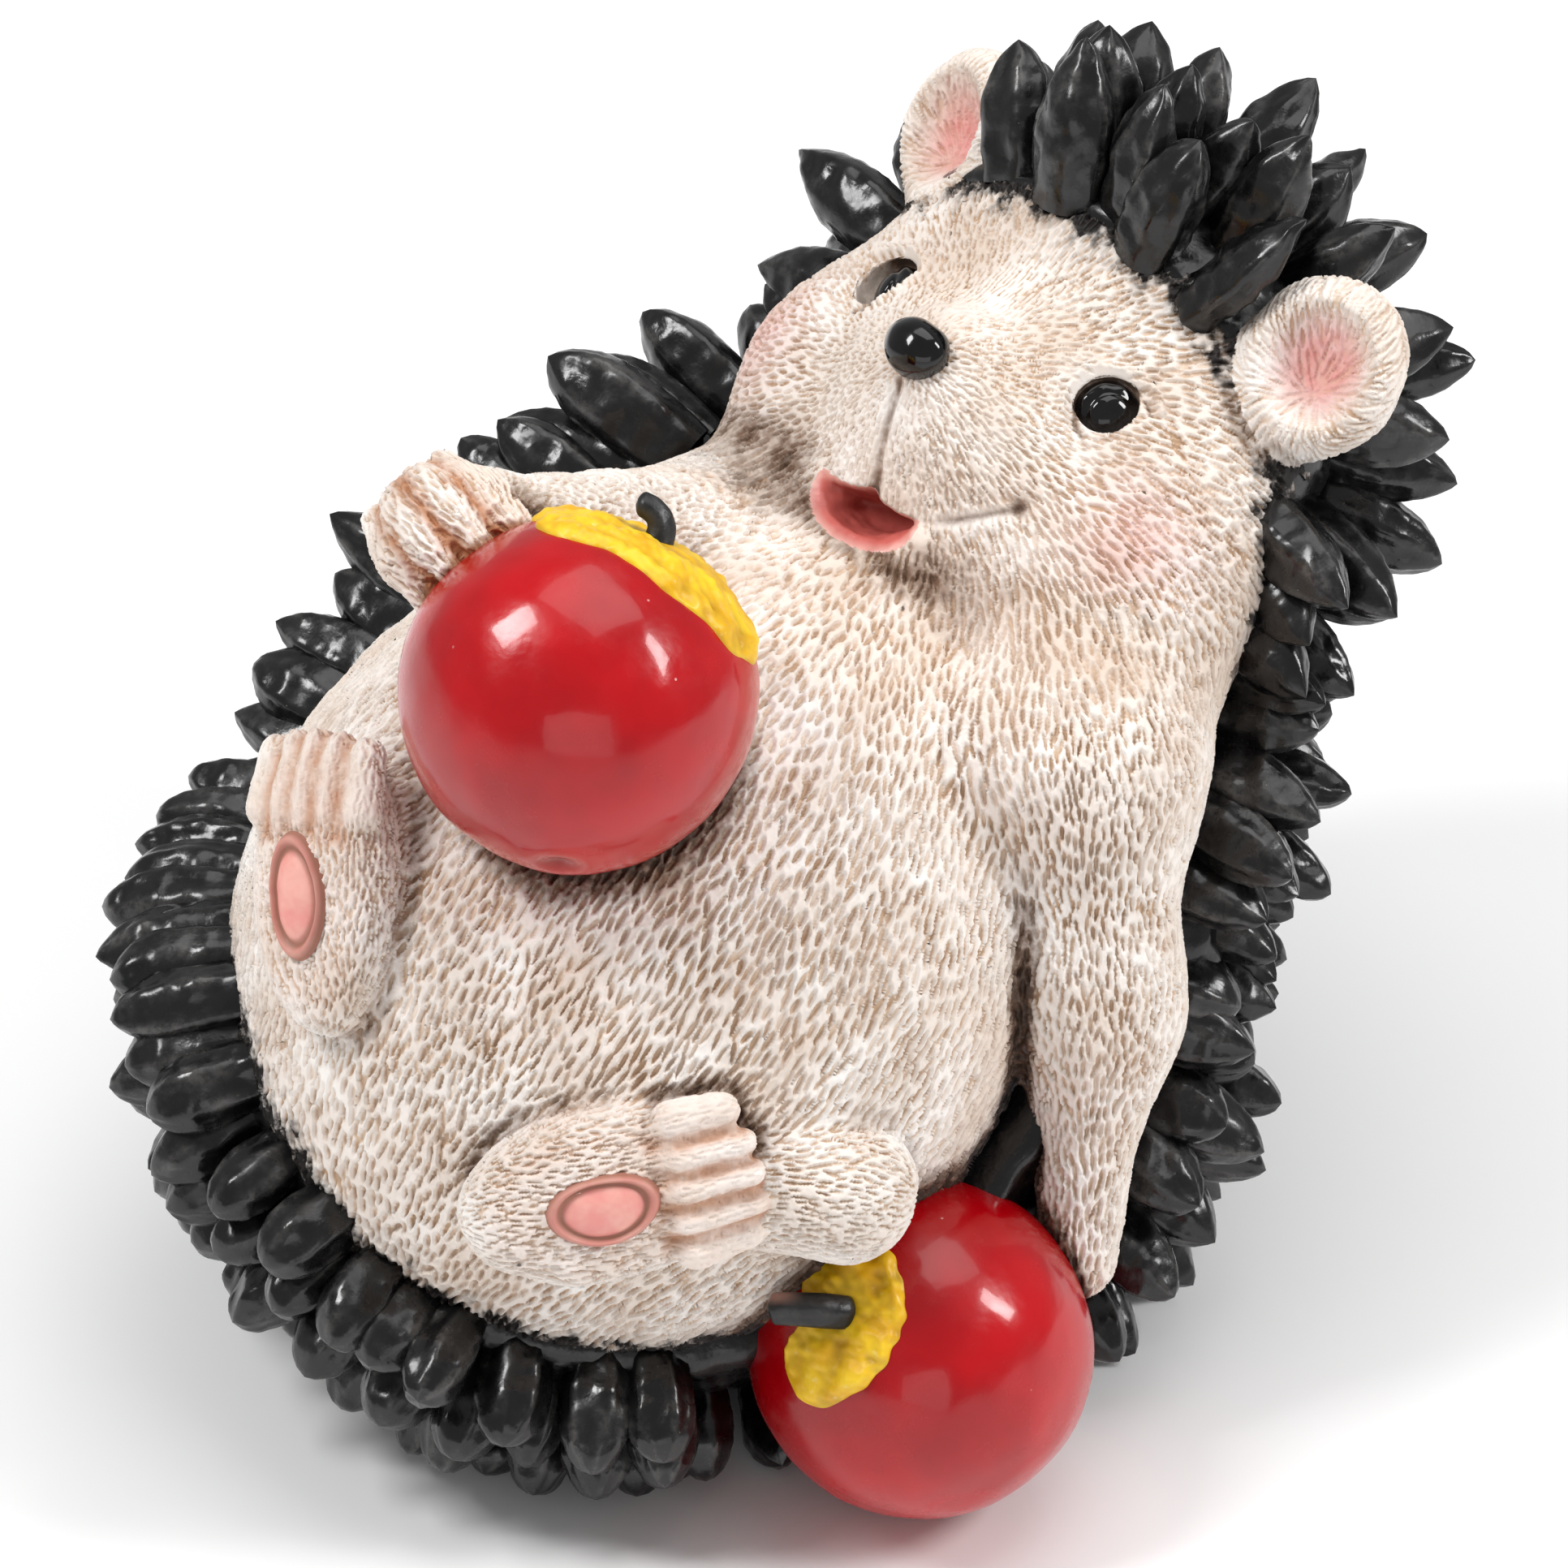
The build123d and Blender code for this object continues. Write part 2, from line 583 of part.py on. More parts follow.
long_quill, short_quill = quill(QUILL_L), quill(7.5)
groups = {"quills_crown": [], "quills_rump": [], "quills_left_flank": [], "quills_right_flank": [],
          "quills_upper_back": [], "quills_lower_back": []}
for p, aim, length, l, m, u in quill_sites():
    if l > 46 and u > -4 and (p - Vector(*HEAD_C)).dot(FORWARD) > -24:
        key = "quills_crown"
    elif l < -16:
        key = "quills_rump"
    elif p.X > 15:
        key = "quills_left_flank"
    elif p.X < -15:
        key = "quills_right_flank"
    elif p.Z > 46:
        key = "quills_upper_back"
    else:
        key = "quills_lower_back"
    groups[key].append((p, aim, length))

for name, members in groups.items():
    with BuildPart() as quills:
        for length, blank in ((QUILL_L, long_quill), (7.5, short_quill)):
            spots = [Plane(origin=p, z_dir=a).location for p, a, s in members if s == length]
            if spots:
                with Locations(*spots):
                    add(blank)
    finish(quills, name)
    print(name, len(members))
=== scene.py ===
import bpy, json, math
import numpy as np
from mathutils import Matrix, Vector

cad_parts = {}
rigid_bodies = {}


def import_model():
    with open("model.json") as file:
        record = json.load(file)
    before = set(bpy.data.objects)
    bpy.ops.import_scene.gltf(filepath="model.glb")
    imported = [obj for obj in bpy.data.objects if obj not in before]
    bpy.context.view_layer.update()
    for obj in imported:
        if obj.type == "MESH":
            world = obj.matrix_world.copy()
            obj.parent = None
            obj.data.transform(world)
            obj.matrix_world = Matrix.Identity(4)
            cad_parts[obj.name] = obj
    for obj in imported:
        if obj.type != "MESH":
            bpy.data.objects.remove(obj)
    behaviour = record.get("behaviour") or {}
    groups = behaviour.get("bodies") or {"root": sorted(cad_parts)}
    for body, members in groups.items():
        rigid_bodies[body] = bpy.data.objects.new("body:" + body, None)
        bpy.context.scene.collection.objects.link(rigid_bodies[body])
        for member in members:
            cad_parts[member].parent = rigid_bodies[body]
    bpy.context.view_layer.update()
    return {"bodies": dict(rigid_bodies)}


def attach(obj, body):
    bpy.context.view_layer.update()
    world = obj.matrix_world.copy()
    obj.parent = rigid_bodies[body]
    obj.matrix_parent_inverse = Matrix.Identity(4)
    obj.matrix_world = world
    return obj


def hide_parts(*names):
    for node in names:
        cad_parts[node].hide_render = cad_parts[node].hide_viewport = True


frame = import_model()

BODY = sorted(frame["bodies"])[0]
FINE = 0.20          # mesh size of the tooled fur, mm
rng = np.random.default_rng(11)
f32 = np.float32

# Everything below is worked out in millimetres and written to Blender in metres.

# ------------------------------------------------------------------ small maths
def unit(v):
    v = np.asarray(v, float)
    return v / np.linalg.norm(v)


def basis(z, x=None):
    """Rows: x axis as near as can be to x, then y, then z."""
    z = unit(z)
    if x is None:
        x = [1, 0, 0] if abs(z[0]) < 0.9 else [0, 1, 0]
    x = np.asarray(x, float)
    x = unit(x - z * (x @ z))
    return np.stack([x, np.cross(z, x), z])


def ell(p, c, r, B=None):
    """Distance-like value of an ellipsoid."""
    q = p - np.asarray(c, f32)
    if B is not None:
        q = q @ np.asarray(B, f32).T
    r = np.asarray(r, f32)
    a = q / r
    k0 = np.sqrt(np.einsum("ij,ij->i", a, a))
    a /= r
    k1 = np.sqrt(np.einsum("ij,ij->i", a, a)) + f32(1e-6)
    return k0 * (k0 - 1) / k1


def cone(p, a, b, r1, r2):
    """Distance to a round cone between two balls."""
    a = np.asarray(a, f32)
    b = np.asarray(b, f32)
    ba = b - a
    l2 = f32(ba @ ba)
    rr = f32(r1 - r2)
    a2 = l2 - rr * rr
    il2 = 1 / l2
    pa = p - a
    y = pa @ ba
    z = y - l2
    w = pa * l2 - y[:, None] * ba
    x2 = np.einsum("ij,ij->i", w, w)
    y2 = y * y * l2
    z2 = z * z * l2
    k = np.sign(rr) * rr * rr * x2
    return np.where(np.sign(z) * a2 * z2 > k, np.sqrt(x2 + z2) * il2 - f32(r2),
                    np.where(np.sign(y) * a2 * y2 < k, np.sqrt(x2 + y2) * il2 - f32(r1),
                             (np.sqrt(x2 * a2 * il2) + y * rr) * il2 - f32(r1)))


def ring(p, c, n, R, r):
    q = p - np.asarray(c, f32)
    n = np.asarray(n, f32)
    h = q @ n
    w = q - h[:, None] * n
    return np.hypot(np.sqrt(np.einsum("ij,ij->i", w, w)) - f32(R), h) - f32(r)


def smin(a, b, k):
    h = np.maximum(k - np.abs(a - b), 0) / k
    return np.minimum(a, b) - h * h * f32(k * 0.25)


def smax(a, b, k):
    return -smin(-a, -b, k)


def step(x, a, b):
    t = np.clip((x - a) / (b - a), 0, 1)
    return t * t * (3 - 2 * t)


class Ripple:
    """Smooth seeded noise: a sum of sine waves in random directions."""

    def __init__(self, seed, wavelength, terms=14):
        g = np.random.default_rng(seed)
        d = g.normal(size=(terms, 3))
        d /= np.linalg.norm(d, axis=1, keepdims=True)
        self.k = (d * (2 * math.pi / wavelength * g.uniform(0.65, 1.5, (terms, 1)))).astype(f32)
        self.ph = g.uniform(0, 2 * math.pi, terms).astype(f32)
        self.n = terms

    def __call__(self, p):
        out = np.zeros(len(p), f32)
        for k, ph in zip(self.k, self.ph):
            out += np.sin(p @ k + ph)
        return out * f32(math.sqrt(2.0 / self.n) * 0.5)


# -------------------------------------------------------------- camera's frame
AZ, EL = math.radians(46.0), math.radians(36.0)
RIGHT = np.array([math.cos(AZ), math.sin(AZ), 0.0])
BACK = np.array([math.sin(AZ) * math.cos(EL), -math.cos(AZ) * math.cos(EL), math.sin(EL)])
UP = np.cross(BACK, RIGHT)
AIM = np.array([2.66, 13.80, 50.56])
DIST = 860.0
CAM = AIM + BACK * DIST

# ------------------------------------------------------------------ body frames
CB = np.array([0.0, 0.0, 40.0])
LX = unit([0, 0.777, 0.629])
_m = unit([0, -0.629, 0.777])
ROLL = math.radians(14)
XB = np.array([1.0, 0, 0]) * math.cos(ROLL) - _m * math.sin(ROLL)
MX = _m * math.cos(ROLL) + np.array([1.0, 0, 0]) * math.sin(ROLL)
BT = np.stack([XB, LX, MX])
FW = unit([0, -0.886, 0.464])
UH = unit([0, 0.464, 0.886])
LH = np.array([1.0, 0, 0])
BH = np.stack([LH, FW, UH])
H = np.array([2.3, 42.13, 78.65])


def h(x, f, u):
    return H + LH * x + FW * f + UH * u


# ---------------------------------------------------------------- fur surfaces
NOSE = h(0, 15.3, 3.1)
EYES = [h(s * 12.4, 3.0, 2.9) for s in (-1, 1)]
EARS = [h(-20.2, -7.2, 16.4), h(24.9, -7.4, 13.7)]
EAR_F = [unit(FW * 0.93 + LH * s * 0.30 + UH * 0.1) for s in (-1, 1)]
EAR_B = [np.stack([np.cross(UH - f * (UH @ f), f), f, UH - f * (UH @ f)]) for f in EAR_F]
EAR_B = [b / np.linalg.norm(b, axis=1, keepdims=True) for b in EAR_B]


def mouth_cut(p):
    """The open smile: below the upper lip line, inside a flattened ball."""
    q = p - H.astype(f32)
    x = q @ LH.astype(f32)
    u = q @ UH.astype(f32)
    top = lip_line(x)
    ball = ell(p, h(-0.2, 12.9, -12.0), (6.2, 5.0, 4.0), BH)
    return smax(ball, u - top, 0.5)


def lip_line(x):
    """Height of the upper lip, then of the smile's line, over the head's middle."""
    return np.interp(np.abs(x), [0, 2.0, 3.7, 5.2, 6.7, 8.2, 9.5, 11.3, 12.9, 15],
                     [-10.0, -10.6, -10.8, -10.7, -10.2, -9.5, -8.6, -7.3, -6.1, -4.6]).astype(f32)


def d_skull(p):
    d = ell(p, h(0, -10, 0.5), (24.5, 15.5, 21), BH)
    d = smin(d, ell(p, h(-15, -2, -8), (13, 12, 12), BH), 8)
    d = smin(d, ell(p, h(15, -2, -8), (13, 12, 12), BH), 8)
    d = smin(d, ell(p, h(0, 1, -7), (13, 13, 12.5), BH), 7)
    d = smin(d, ell(p, h(0, 5.5, -12.5), (8.5, 7.0, 6.0), BH), 6)
    d = smin(d, ell(p, h(0, 6, -2), (9, 8.5, 7.5), BH), 7)
    return smin(d, ell(p, h(0, 10.9, 2.1), (3.9, 3.6, 3.2), BH), 4)      # the nose's seat


def on_skull(x, u):
    """Point of the face over x, u."""
    f = np.linspace(24, -5, 291)
    v = d_skull(np.array([h(x, k, u) for k in f]).astype(f32))
    return h(x, f[np.argmax(v < 0)], u)


LIP = [on_skull(x, u) for x, u in ((-6.4, -11.4), (-6.0, -13.2), (-4.6, -15.0), (-2.4, -16.1), (0.2, -16.3),
                                   (2.6, -15.5), (4.6, -13.9), (5.9, -12.1))]


def d_head(p):
    d = d_skull(p)
    near = np.nonzero(d < 6)[0]
    if len(near):
        q = p[near]
        e = d[near]
        for c in EYES:
            n = unit(c - h(0, -8, 0))
            e = smax(e, -ell(q, c + n * 1.3, (3.25, 3.25, 3.25)), 0.35)
        e = smax(e, -mouth_cut(q), 0.7)
        for a, b in zip(LIP, LIP[1:]):
            e = smin(e, cone(q, a, b, 0.95, 0.95), 1.0)
        d[near] = e
    return d


def d_ear(s):
    def f(p):
        c, B = EARS[s], EAR_B[s]
        d = ell(p, c, (7.4, 4.4, 7.6), B)
        d = smin(d, ell(p, c - EAR_F[s] * 1.0 - EAR_B[s][2] * 3.5 - LH * ((-1, 1)[s] * 2.0), (5.6, 4.2, 6.0), B), 3)
        dish = ell(p, c + EAR_F[s] * 4.9 - EAR_B[s][2] * 0.3, (5.6, 5.2, 5.9), B)
        return smax(d, -dish, 1.3)
    return f


def d_torso(p):
    d = ell(p, CB - LX * 1.5, (35.5, 38, 33), BT)
    d = smin(d, ell(p, CB + LX * 24 - MX * 7, (25, 18, 17), BT), 14)
    d = smin(d, cone(p, h(13, -6, -9), ARM_L[0] + np.array([-3.0, 1.0, 1.0]), 12.5, 9.0), 7)
    d = smin(d, cone(p, h(-11, -6, -9), ARM_R[0] + np.array([3.0, 0, 0]), 12.0, 8.5), 7)
    return smax(d, -mouth_cut(p), 0.7)


ARM_R = [np.array(v, float) for v in ((-16, 25.2, 59.6), (-4.95, -11.3, 85.1))]
PAW = np.array([-7.05, -16.7, 87.1])
ARM_L = [np.array(v, float) for v in ((28.6, 25.2, 59.2), (34.7, 20.4, 41.0), (40.2, 13, 19.8))]
LEG_L = [np.array(v, float) for v in ((34.2, -9.8, 36.4), (30.2, -14.8, 38.0))]
THIGH_R = [np.array(v, float) for v in ((-7.5, -19.8, 48.9), (-9.1, -25.5, 58.7))]
FOOT = [dict(c=np.array([-6.0, -31.5, 58.3]), a=unit([-0.39, 0.44, 0.81]), n=unit([0.08, -0.91, 0.40]), r=(13.0, 6.8, 6.2)),
        dict(c=np.array([23.5, -27.4, 39.9]), a=unit([0.62, 0.77, 0.17]), n=unit([0.78, -0.56, 0.28]), r=(12.6, 7.9, 6.4))]
for F in FOOT:
    F["B"] = basis(F["n"], F["a"])
APPLE_1, APPLE_2 = np.array([9.63, -16.87, 78.98]), np.array([35.48, -1.37, 15.0])
R_APPLE = 15.0

# fingers over the held apple: knuckle, then tip on the apple's rim
PAW_AX = unit(APPLE_1 - PAW)
PAW_W = unit(np.cross(PAW_AX, BACK))


def d_arm_r(p):
    return cone(p, ARM_R[0], ARM_R[1], 8.5, 5.2)


FINGERS = []
for i in range(4):
    t = (i - 1.5) * 3.05
    w = PAW_W * t
    FINGERS.append([PAW + w * 0.80 - PAW_AX * 4.6 + BACK * (2.4 - 0.10 * t * t),
                    PAW + w * 0.95 - PAW_AX * 0.6 + BACK * (5.35 - 0.14 * t * t),
                    PAW + w * 1.0 + PAW_AX * 5.0 + BACK * (4.5 - 0.14 * t * t)])


def d_paw(p):
    d = ell(p, PAW, (6.2, 6.2, 6.2))
    near = np.nonzero(d < 6)[0]
    if len(near):
        q, e = p[near], d[near]
        for a, b, c in FINGERS:
            e = smin(e, np.minimum(cone(q, a, b, 1.3, 1.5), cone(q, b, c, 1.5, 1.4)), 0.5)
        d[near] = e
    return d


def gap_between(p, bars):
    """1 in the furrow between neighbouring fingers or toes, falling to 0 on their ridges."""
    d = np.sort(np.stack([cone(p, a, b, r, r) for a, b, r in bars], 1), axis=1)
    return np.exp(-((d[:, 1] - d[:, 0]) / 0.95) ** 2) * step(-d[:, 0], -2.2, -1.0)


def d_arm_l(p):
    return smin(cone(p, ARM_L[0], ARM_L[1], 8.4, 5.9), cone(p, ARM_L[1], ARM_L[2], 5.9, 3.5), 8)


def d_leg_l(p):
    return cone(p, LEG_L[0], LEG_L[1], 6.4, 6.0)


def d_thigh_r(p):
    return cone(p, THIGH_R[0], THIGH_R[1], 9.0, 7.0)


def d_foot(i):
    F = FOOT[i]
    toes = []
    for k in range(5):
        off = (k - 2) * (2.55 + 0.4 * i)
        base = F["c"] + F["a"] * 6.6 + F["B"][1] * off + F["n"] * (3.0 - 0.022 * off * off)
        tip = F["c"] + F["a"] * (12.0 - 0.03 * off * off) + F["B"][1] * off * 0.96 + F["n"] * (2.3 - 0.025 * off * off)
        toes.append((base, tip))

    def f(p):
        d = ell(p, F["c"], F["r"], F["B"])
        q = p - F["c"].astype(f32)
        d = smax(d, q @ F["n"].astype(f32) - f32(4.3), 2.2)
        near = np.nonzero(d < 6)[0]
        if len(near):
            q, e = p[near], d[near]
            for a, b in toes:
                e = smin(e, cone(q, a, b, 1.8, 1.6), 0.7)
            d[near] = e
        return d
    return f


def toe_bars(F):
    out = []
    for k in range(5):
        off = (k - 2) * (2.55 + 0.4 * (F is FOOT[1]))
        out.append((F["c"] + F["a"] * 6.6 + F["B"][1] * off + F["n"] * 3.2, F["c"] + F["a"] * 12.0 + F["B"][1] * off * 0.96 + F["n"] * 2.4, 1.5))
    return out


d_foot_r, d_foot_l = d_foot(0), d_foot(1)
d_ear_r, d_ear_l = d_ear(0), d_ear(1)
PARTS = ["torso", "head", "ear_right", "ear_left", "arm_right", "paw_right", "arm_left",
         "leg_left", "leg_right", "foot_left", "foot_right"]
FNS = [d_torso, d_head, d_ear_r, d_ear_l, d_arm_r, d_paw, d_arm_l, d_leg_l, d_thigh_r, d_foot_l, d_foot_r]


def d_parts(p):
    return np.stack([f(p) for f in FNS], 1)


def d_join(D, p):
    t, hd, er, el_, ar, pw, al, ll, tr, fl, fr = (D[:, i] for i in range(11))
    l = (p - CB.astype(f32)) @ LX.astype(f32)
    d = smin(t, al, 1.3 + 9.0 * step(l, 12, 30))
    d = smin(d, ar, 4.5)
    d = smin(d, tr, 4.0)
    d = smin(d, ll, 1.2)
    d = smin(d, fr, 1.4)
    d = smin(d, fl, 1.0)
    hd = smin(smin(hd, er, 1.6), el_, 1.6)
    d = smin(d, hd, 6.5)
    return smin(d, pw, 2.5)


def d_fur(p):
    return d_join(d_parts(p), p)


def d_shell(p, o=0.0):
    d = ell(p, CB - MX * 3, (38 + o, 41.5 + o * 0.8, 34 + o), BT)
    d = smin(d, ell(p, (0, 14, 28), (35 + o, 34 + o, 34 + o)), 6)
    d = smin(d, ell(p, (-1, 33, 52), (30 + o, 24 + o, 30 + o)), 6)
    return smin(d, ell(p, h(0, -10.2, 0.5), (25.0 + o, 16.0 + o, 21.6 + o), BH), 6)


# how far the quill edge climbs round the rump, and where the hairline lies on the head
RUMP_X, RUMP_M = [-40, -21, -8, 0, 10, 19.4, 30, 40], [20.5, 20.5, 20.8, 16.8, 14.0, 9.5, 4.0, 1.0]
HAIR_U, HAIR_F = [-24, -9, 0, 5, 12, 16, 22], [-9.0, -7.5, -6.0, -6.2, -3.4, -0.6, 0.6]


def seam(p):
    """Positive on the fur side of the hairline, negative on the quill side."""
    q = p - CB.astype(f32)
    l = q @ LX.astype(f32)
    m = q @ MX.astype(f32)
    qh = p - H.astype(f32)
    f = qh @ FW.astype(f32)
    u = qh @ UH.astype(f32)
    x = q @ XB.astype(f32)
    a = m + 5.0 - np.interp(x, RUMP_X, RUMP_M).astype(f32) * step(-l, 5, 26)
    b = f - np.interp(u, HAIR_U, HAIR_F).astype(f32)
    w = np.clip((l - 38) / 12, 0, 1)
    return a * (1 - w) + b * w


def d_coat(p):
    return smax(smax(d_shell(p), seam(p), 1.0), -p[:, 2], 0.6)


def d_apples(p):
    return np.minimum(ell(p, APPLE_1, (R_APPLE,) * 3), ell(p, APPLE_2, (R_APPLE,) * 3))


# ------------------------------------------------------------------- meshing
def surface_nets(f, lo, hi, step_mm, keep=None, B=8):
    """Quad mesh of f = 0, worked out only in the blocks the surface passes through."""
    lo = np.asarray(lo, float)
    n = np.ceil((np.asarray(hi, float) - lo) / (step_mm * B)).astype(int)
    I = np.stack(np.meshgrid(*[np.arange(k) for k in n], indexing="ij"), -1).reshape(-1, 3)
    c = (lo + (I + 0.5) * step_mm * B).astype(f32)
    m = np.abs(f(c)) < step_mm * B * 0.5 * 1.7321 * 1.35
    if keep is not None:
        m &= keep(c)
    I = I[m]
    g = np.arange(B + 1)
    L = np.stack(np.meshgrid(g, g, g, indexing="ij"), -1).reshape(-1, 3)
    vals = np.empty((len(I), (B + 1) ** 3), f32)
    ch = 90
    for s in range(0, len(I), ch):
        pts = (lo + (I[s:s + ch, None] * B + L[None]) * step_mm).astype(f32).reshape(-1, 3)
        vals[s:s + ch] = f(pts).reshape(-1, (B + 1) ** 3)
    V = vals.reshape(-1, B + 1, B + 1, B + 1)
    ins = V < 0
    cnt = np.zeros((len(I), B, B, B), np.int8)
    for a in (0, 1):
        for b in (0, 1):
            for d in (0, 1):
                cnt += ins[:, a:B + a, b:B + b, d:B + d]
    bi, ci, cj, ck = np.nonzero((cnt > 0) & (cnt < 8))
    acc = np.zeros((len(bi), 3))
    num = np.zeros(len(bi))
    corners = [(0, 0, 0), (1, 0, 0), (0, 1, 0), (1, 1, 0), (0, 0, 1), (1, 0, 1), (0, 1, 1), (1, 1, 1)]
    for i, a in enumerate(corners):
        for b in corners[i + 1:]:
            if sum(x != y for x, y in zip(a, b)) != 1:
                continue
            va = V[bi, ci + a[0], cj + a[1], ck + a[2]]
            vb = V[bi, ci + b[0], cj + b[1], ck + b[2]]
            x = (va < 0) != (vb < 0)
            t = np.where(x, va / np.where(x, va - vb, 1), 0)
            pos = np.array(a) + t[:, None] * (np.array(b) - np.array(a))
            acc += pos * x[:, None]
            num += x
    G = I[bi] * B + np.stack([ci, cj, ck], 1)
    P = (G + acc / num[:, None]) * step_mm + lo
    N1, N2 = int(n[1] * B + 4), int(n[2] * B + 4)

    def key(g):
        return (g[:, 0].astype(np.int64) + 1) * N1 * N2 + (g[:, 1] + 1) * N2 + (g[:, 2] + 1)

    k = key(G)
    order = np.argsort(k)
    k = k[order]
    P = P[order]
    quads = []
    for ax in range(3):
        sl = [slice(0, B)] * 3
        sl[ax] = slice(1, B + 1)
        a = V[:, :B, :B, :B]
        b = V[:, sl[0], sl[1], sl[2]]
        bi, i, j, kk = np.nonzero((a < 0) != (b < 0))
        inside_first = a[bi, i, j, kk] < 0
        g = I[bi] * B + np.stack([i, j, kk], 1)
        e1 = np.zeros(3, int)
        e2 = np.zeros(3, int)
        e1[(ax + 1) % 3] = 1
        e2[(ax + 2) % 3] = 1
        ids = []
        ok = np.ones(len(g), bool)
        for off in (0 * e1, -e1, -e1 - e2, -e2):
            kq = key(g + off)
            pos = np.clip(np.searchsorted(k, kq), 0, len(k) - 1)
            ok &= k[pos] == kq
            ids.append(pos)
        q = np.stack(ids, 1)
        q[~inside_first] = q[~inside_first][:, ::-1]
        quads.append(q[ok])
    return P.astype(f32), np.concatenate(quads)


def gradient(f, P, e=0.05):
    g = np.empty((len(P), 3), f32)
    for i in range(3):
        d = np.zeros(3, f32)
        d[i] = e
        g[:, i] = f(P + d) - f(P - d)
    return g / f32(2 * e)


def in_chunks(f, P, n=60000):
    return np.concatenate([f(P[s:s + n]) for s in range(0, len(P), n)])


def vertex_normals(P, Q):
    a = P[Q[:, 2]] - P[Q[:, 0]]
    b = P[Q[:, 3]] - P[Q[:, 1]] if Q.shape[1] == 4 else P[Q[:, 1]] - P[Q[:, 0]]
    fn = np.cross(a, b) if Q.shape[1] == 4 else np.cross(b, a)
    out = np.zeros((len(P), 3))
    for i in range(3):
        for k in range(Q.shape[1]):
            out[:, i] += np.bincount(Q[:, k], fn[:, i], len(P))
    return out / (np.linalg.norm(out, axis=1, keepdims=True) + 1e-12)


# --------------------------------------------------------------- into Blender
def piece(name, P, Q, attrs, mat, nodes=(), normals=None, bucket=None):
    """One mesh object from points, faces and per-vertex attributes."""
    me = bpy.data.meshes.new(name)
    Q = np.asarray(Q)
    me.vertices.add(len(P))
    me.vertices.foreach_set("co", (np.asarray(P, float) * 0.001).astype(f32).ravel())
    me.loops.add(Q.size)
    me.loops.foreach_set("vertex_index", Q.astype(np.int32).ravel())
    me.polygons.add(len(Q))
    me.polygons.foreach_set("loop_start", np.arange(0, Q.size, Q.shape[1], dtype=np.int32))
    me.polygons.foreach_set("use_smooth", np.ones(len(Q), bool))
    me.update(calc_edges=True)
    me.validate()
    for k, v in attrs.items():
        at = me.attributes.new(k, "FLOAT", "POINT")
        at.data.foreach_set("value", np.asarray(v, f32))
    if normals is not None:
        me.normals_split_custom_set_from_vertices(np.asarray(normals, f32))
    o = bpy.data.objects.new(name, me)
    bpy.context.scene.collection.objects.link(o)
    o.data.materials.append(mat)
    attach(o, BODY)
    if nodes:
        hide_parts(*nodes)
    return o


def cells(P, size):
    """Spatial hash: sorted keys, order and a key function."""
    lo = P.min(0) - 3 * size
    dims = np.ceil((P.max(0) + 3 * size - lo) / size).astype(np.int64) + 1

    def key(p, off=(0, 0, 0)):
        c = np.floor((p - lo) / size).astype(np.int64) + np.asarray(off)
        return (c[:, 0] * dims[1] + c[:, 1]) * dims[2] + c[:, 2]

    k = key(P)
    order = np.argsort(k, kind="stable")
    return k[order], order, key


def near_pairs(A, B, size):
    """Index pairs (a, b) whose cells touch."""
    k, order, key = cells(np.concatenate([A, B]), size)
    kb = key(B)
    ob = np.argsort(kb, kind="stable")
    kb = kb[ob]
    outa, outb = [], []
    ar = np.arange(len(A))
    for dx in (-1, 0, 1):
        for dy in (-1, 0, 1):
            for dz in (-1, 0, 1):
                ka = key(A, (dx, dy, dz))
                s = np.searchsorted(kb, ka, "left")
                e = np.searchsorted(kb, ka, "right")
                n = e - s
                if n.sum() == 0:
                    continue
                ia = np.repeat(ar, n)
                start = np.repeat(s - np.concatenate([[0], np.cumsum(n)[:-1]]), n)
                ib = ob[start + np.arange(n.sum())]
                outa.append(ia)
                outb.append(ib)
    return np.concatenate(outa), np.concatenate(outb)


# ------------------------------------------------------------------- materials
def tree(name):
    m = bpy.data.materials.new(name)
    m.use_nodes = True
    nt = m.node_tree
    nt.nodes.clear()
    out = nt.nodes.new("ShaderNodeOutputMaterial")
    bs = nt.nodes.new("ShaderNodeBsdfPrincipled")
    nt.links.new(bs.outputs[0], out.inputs[0])
    return m, nt, bs


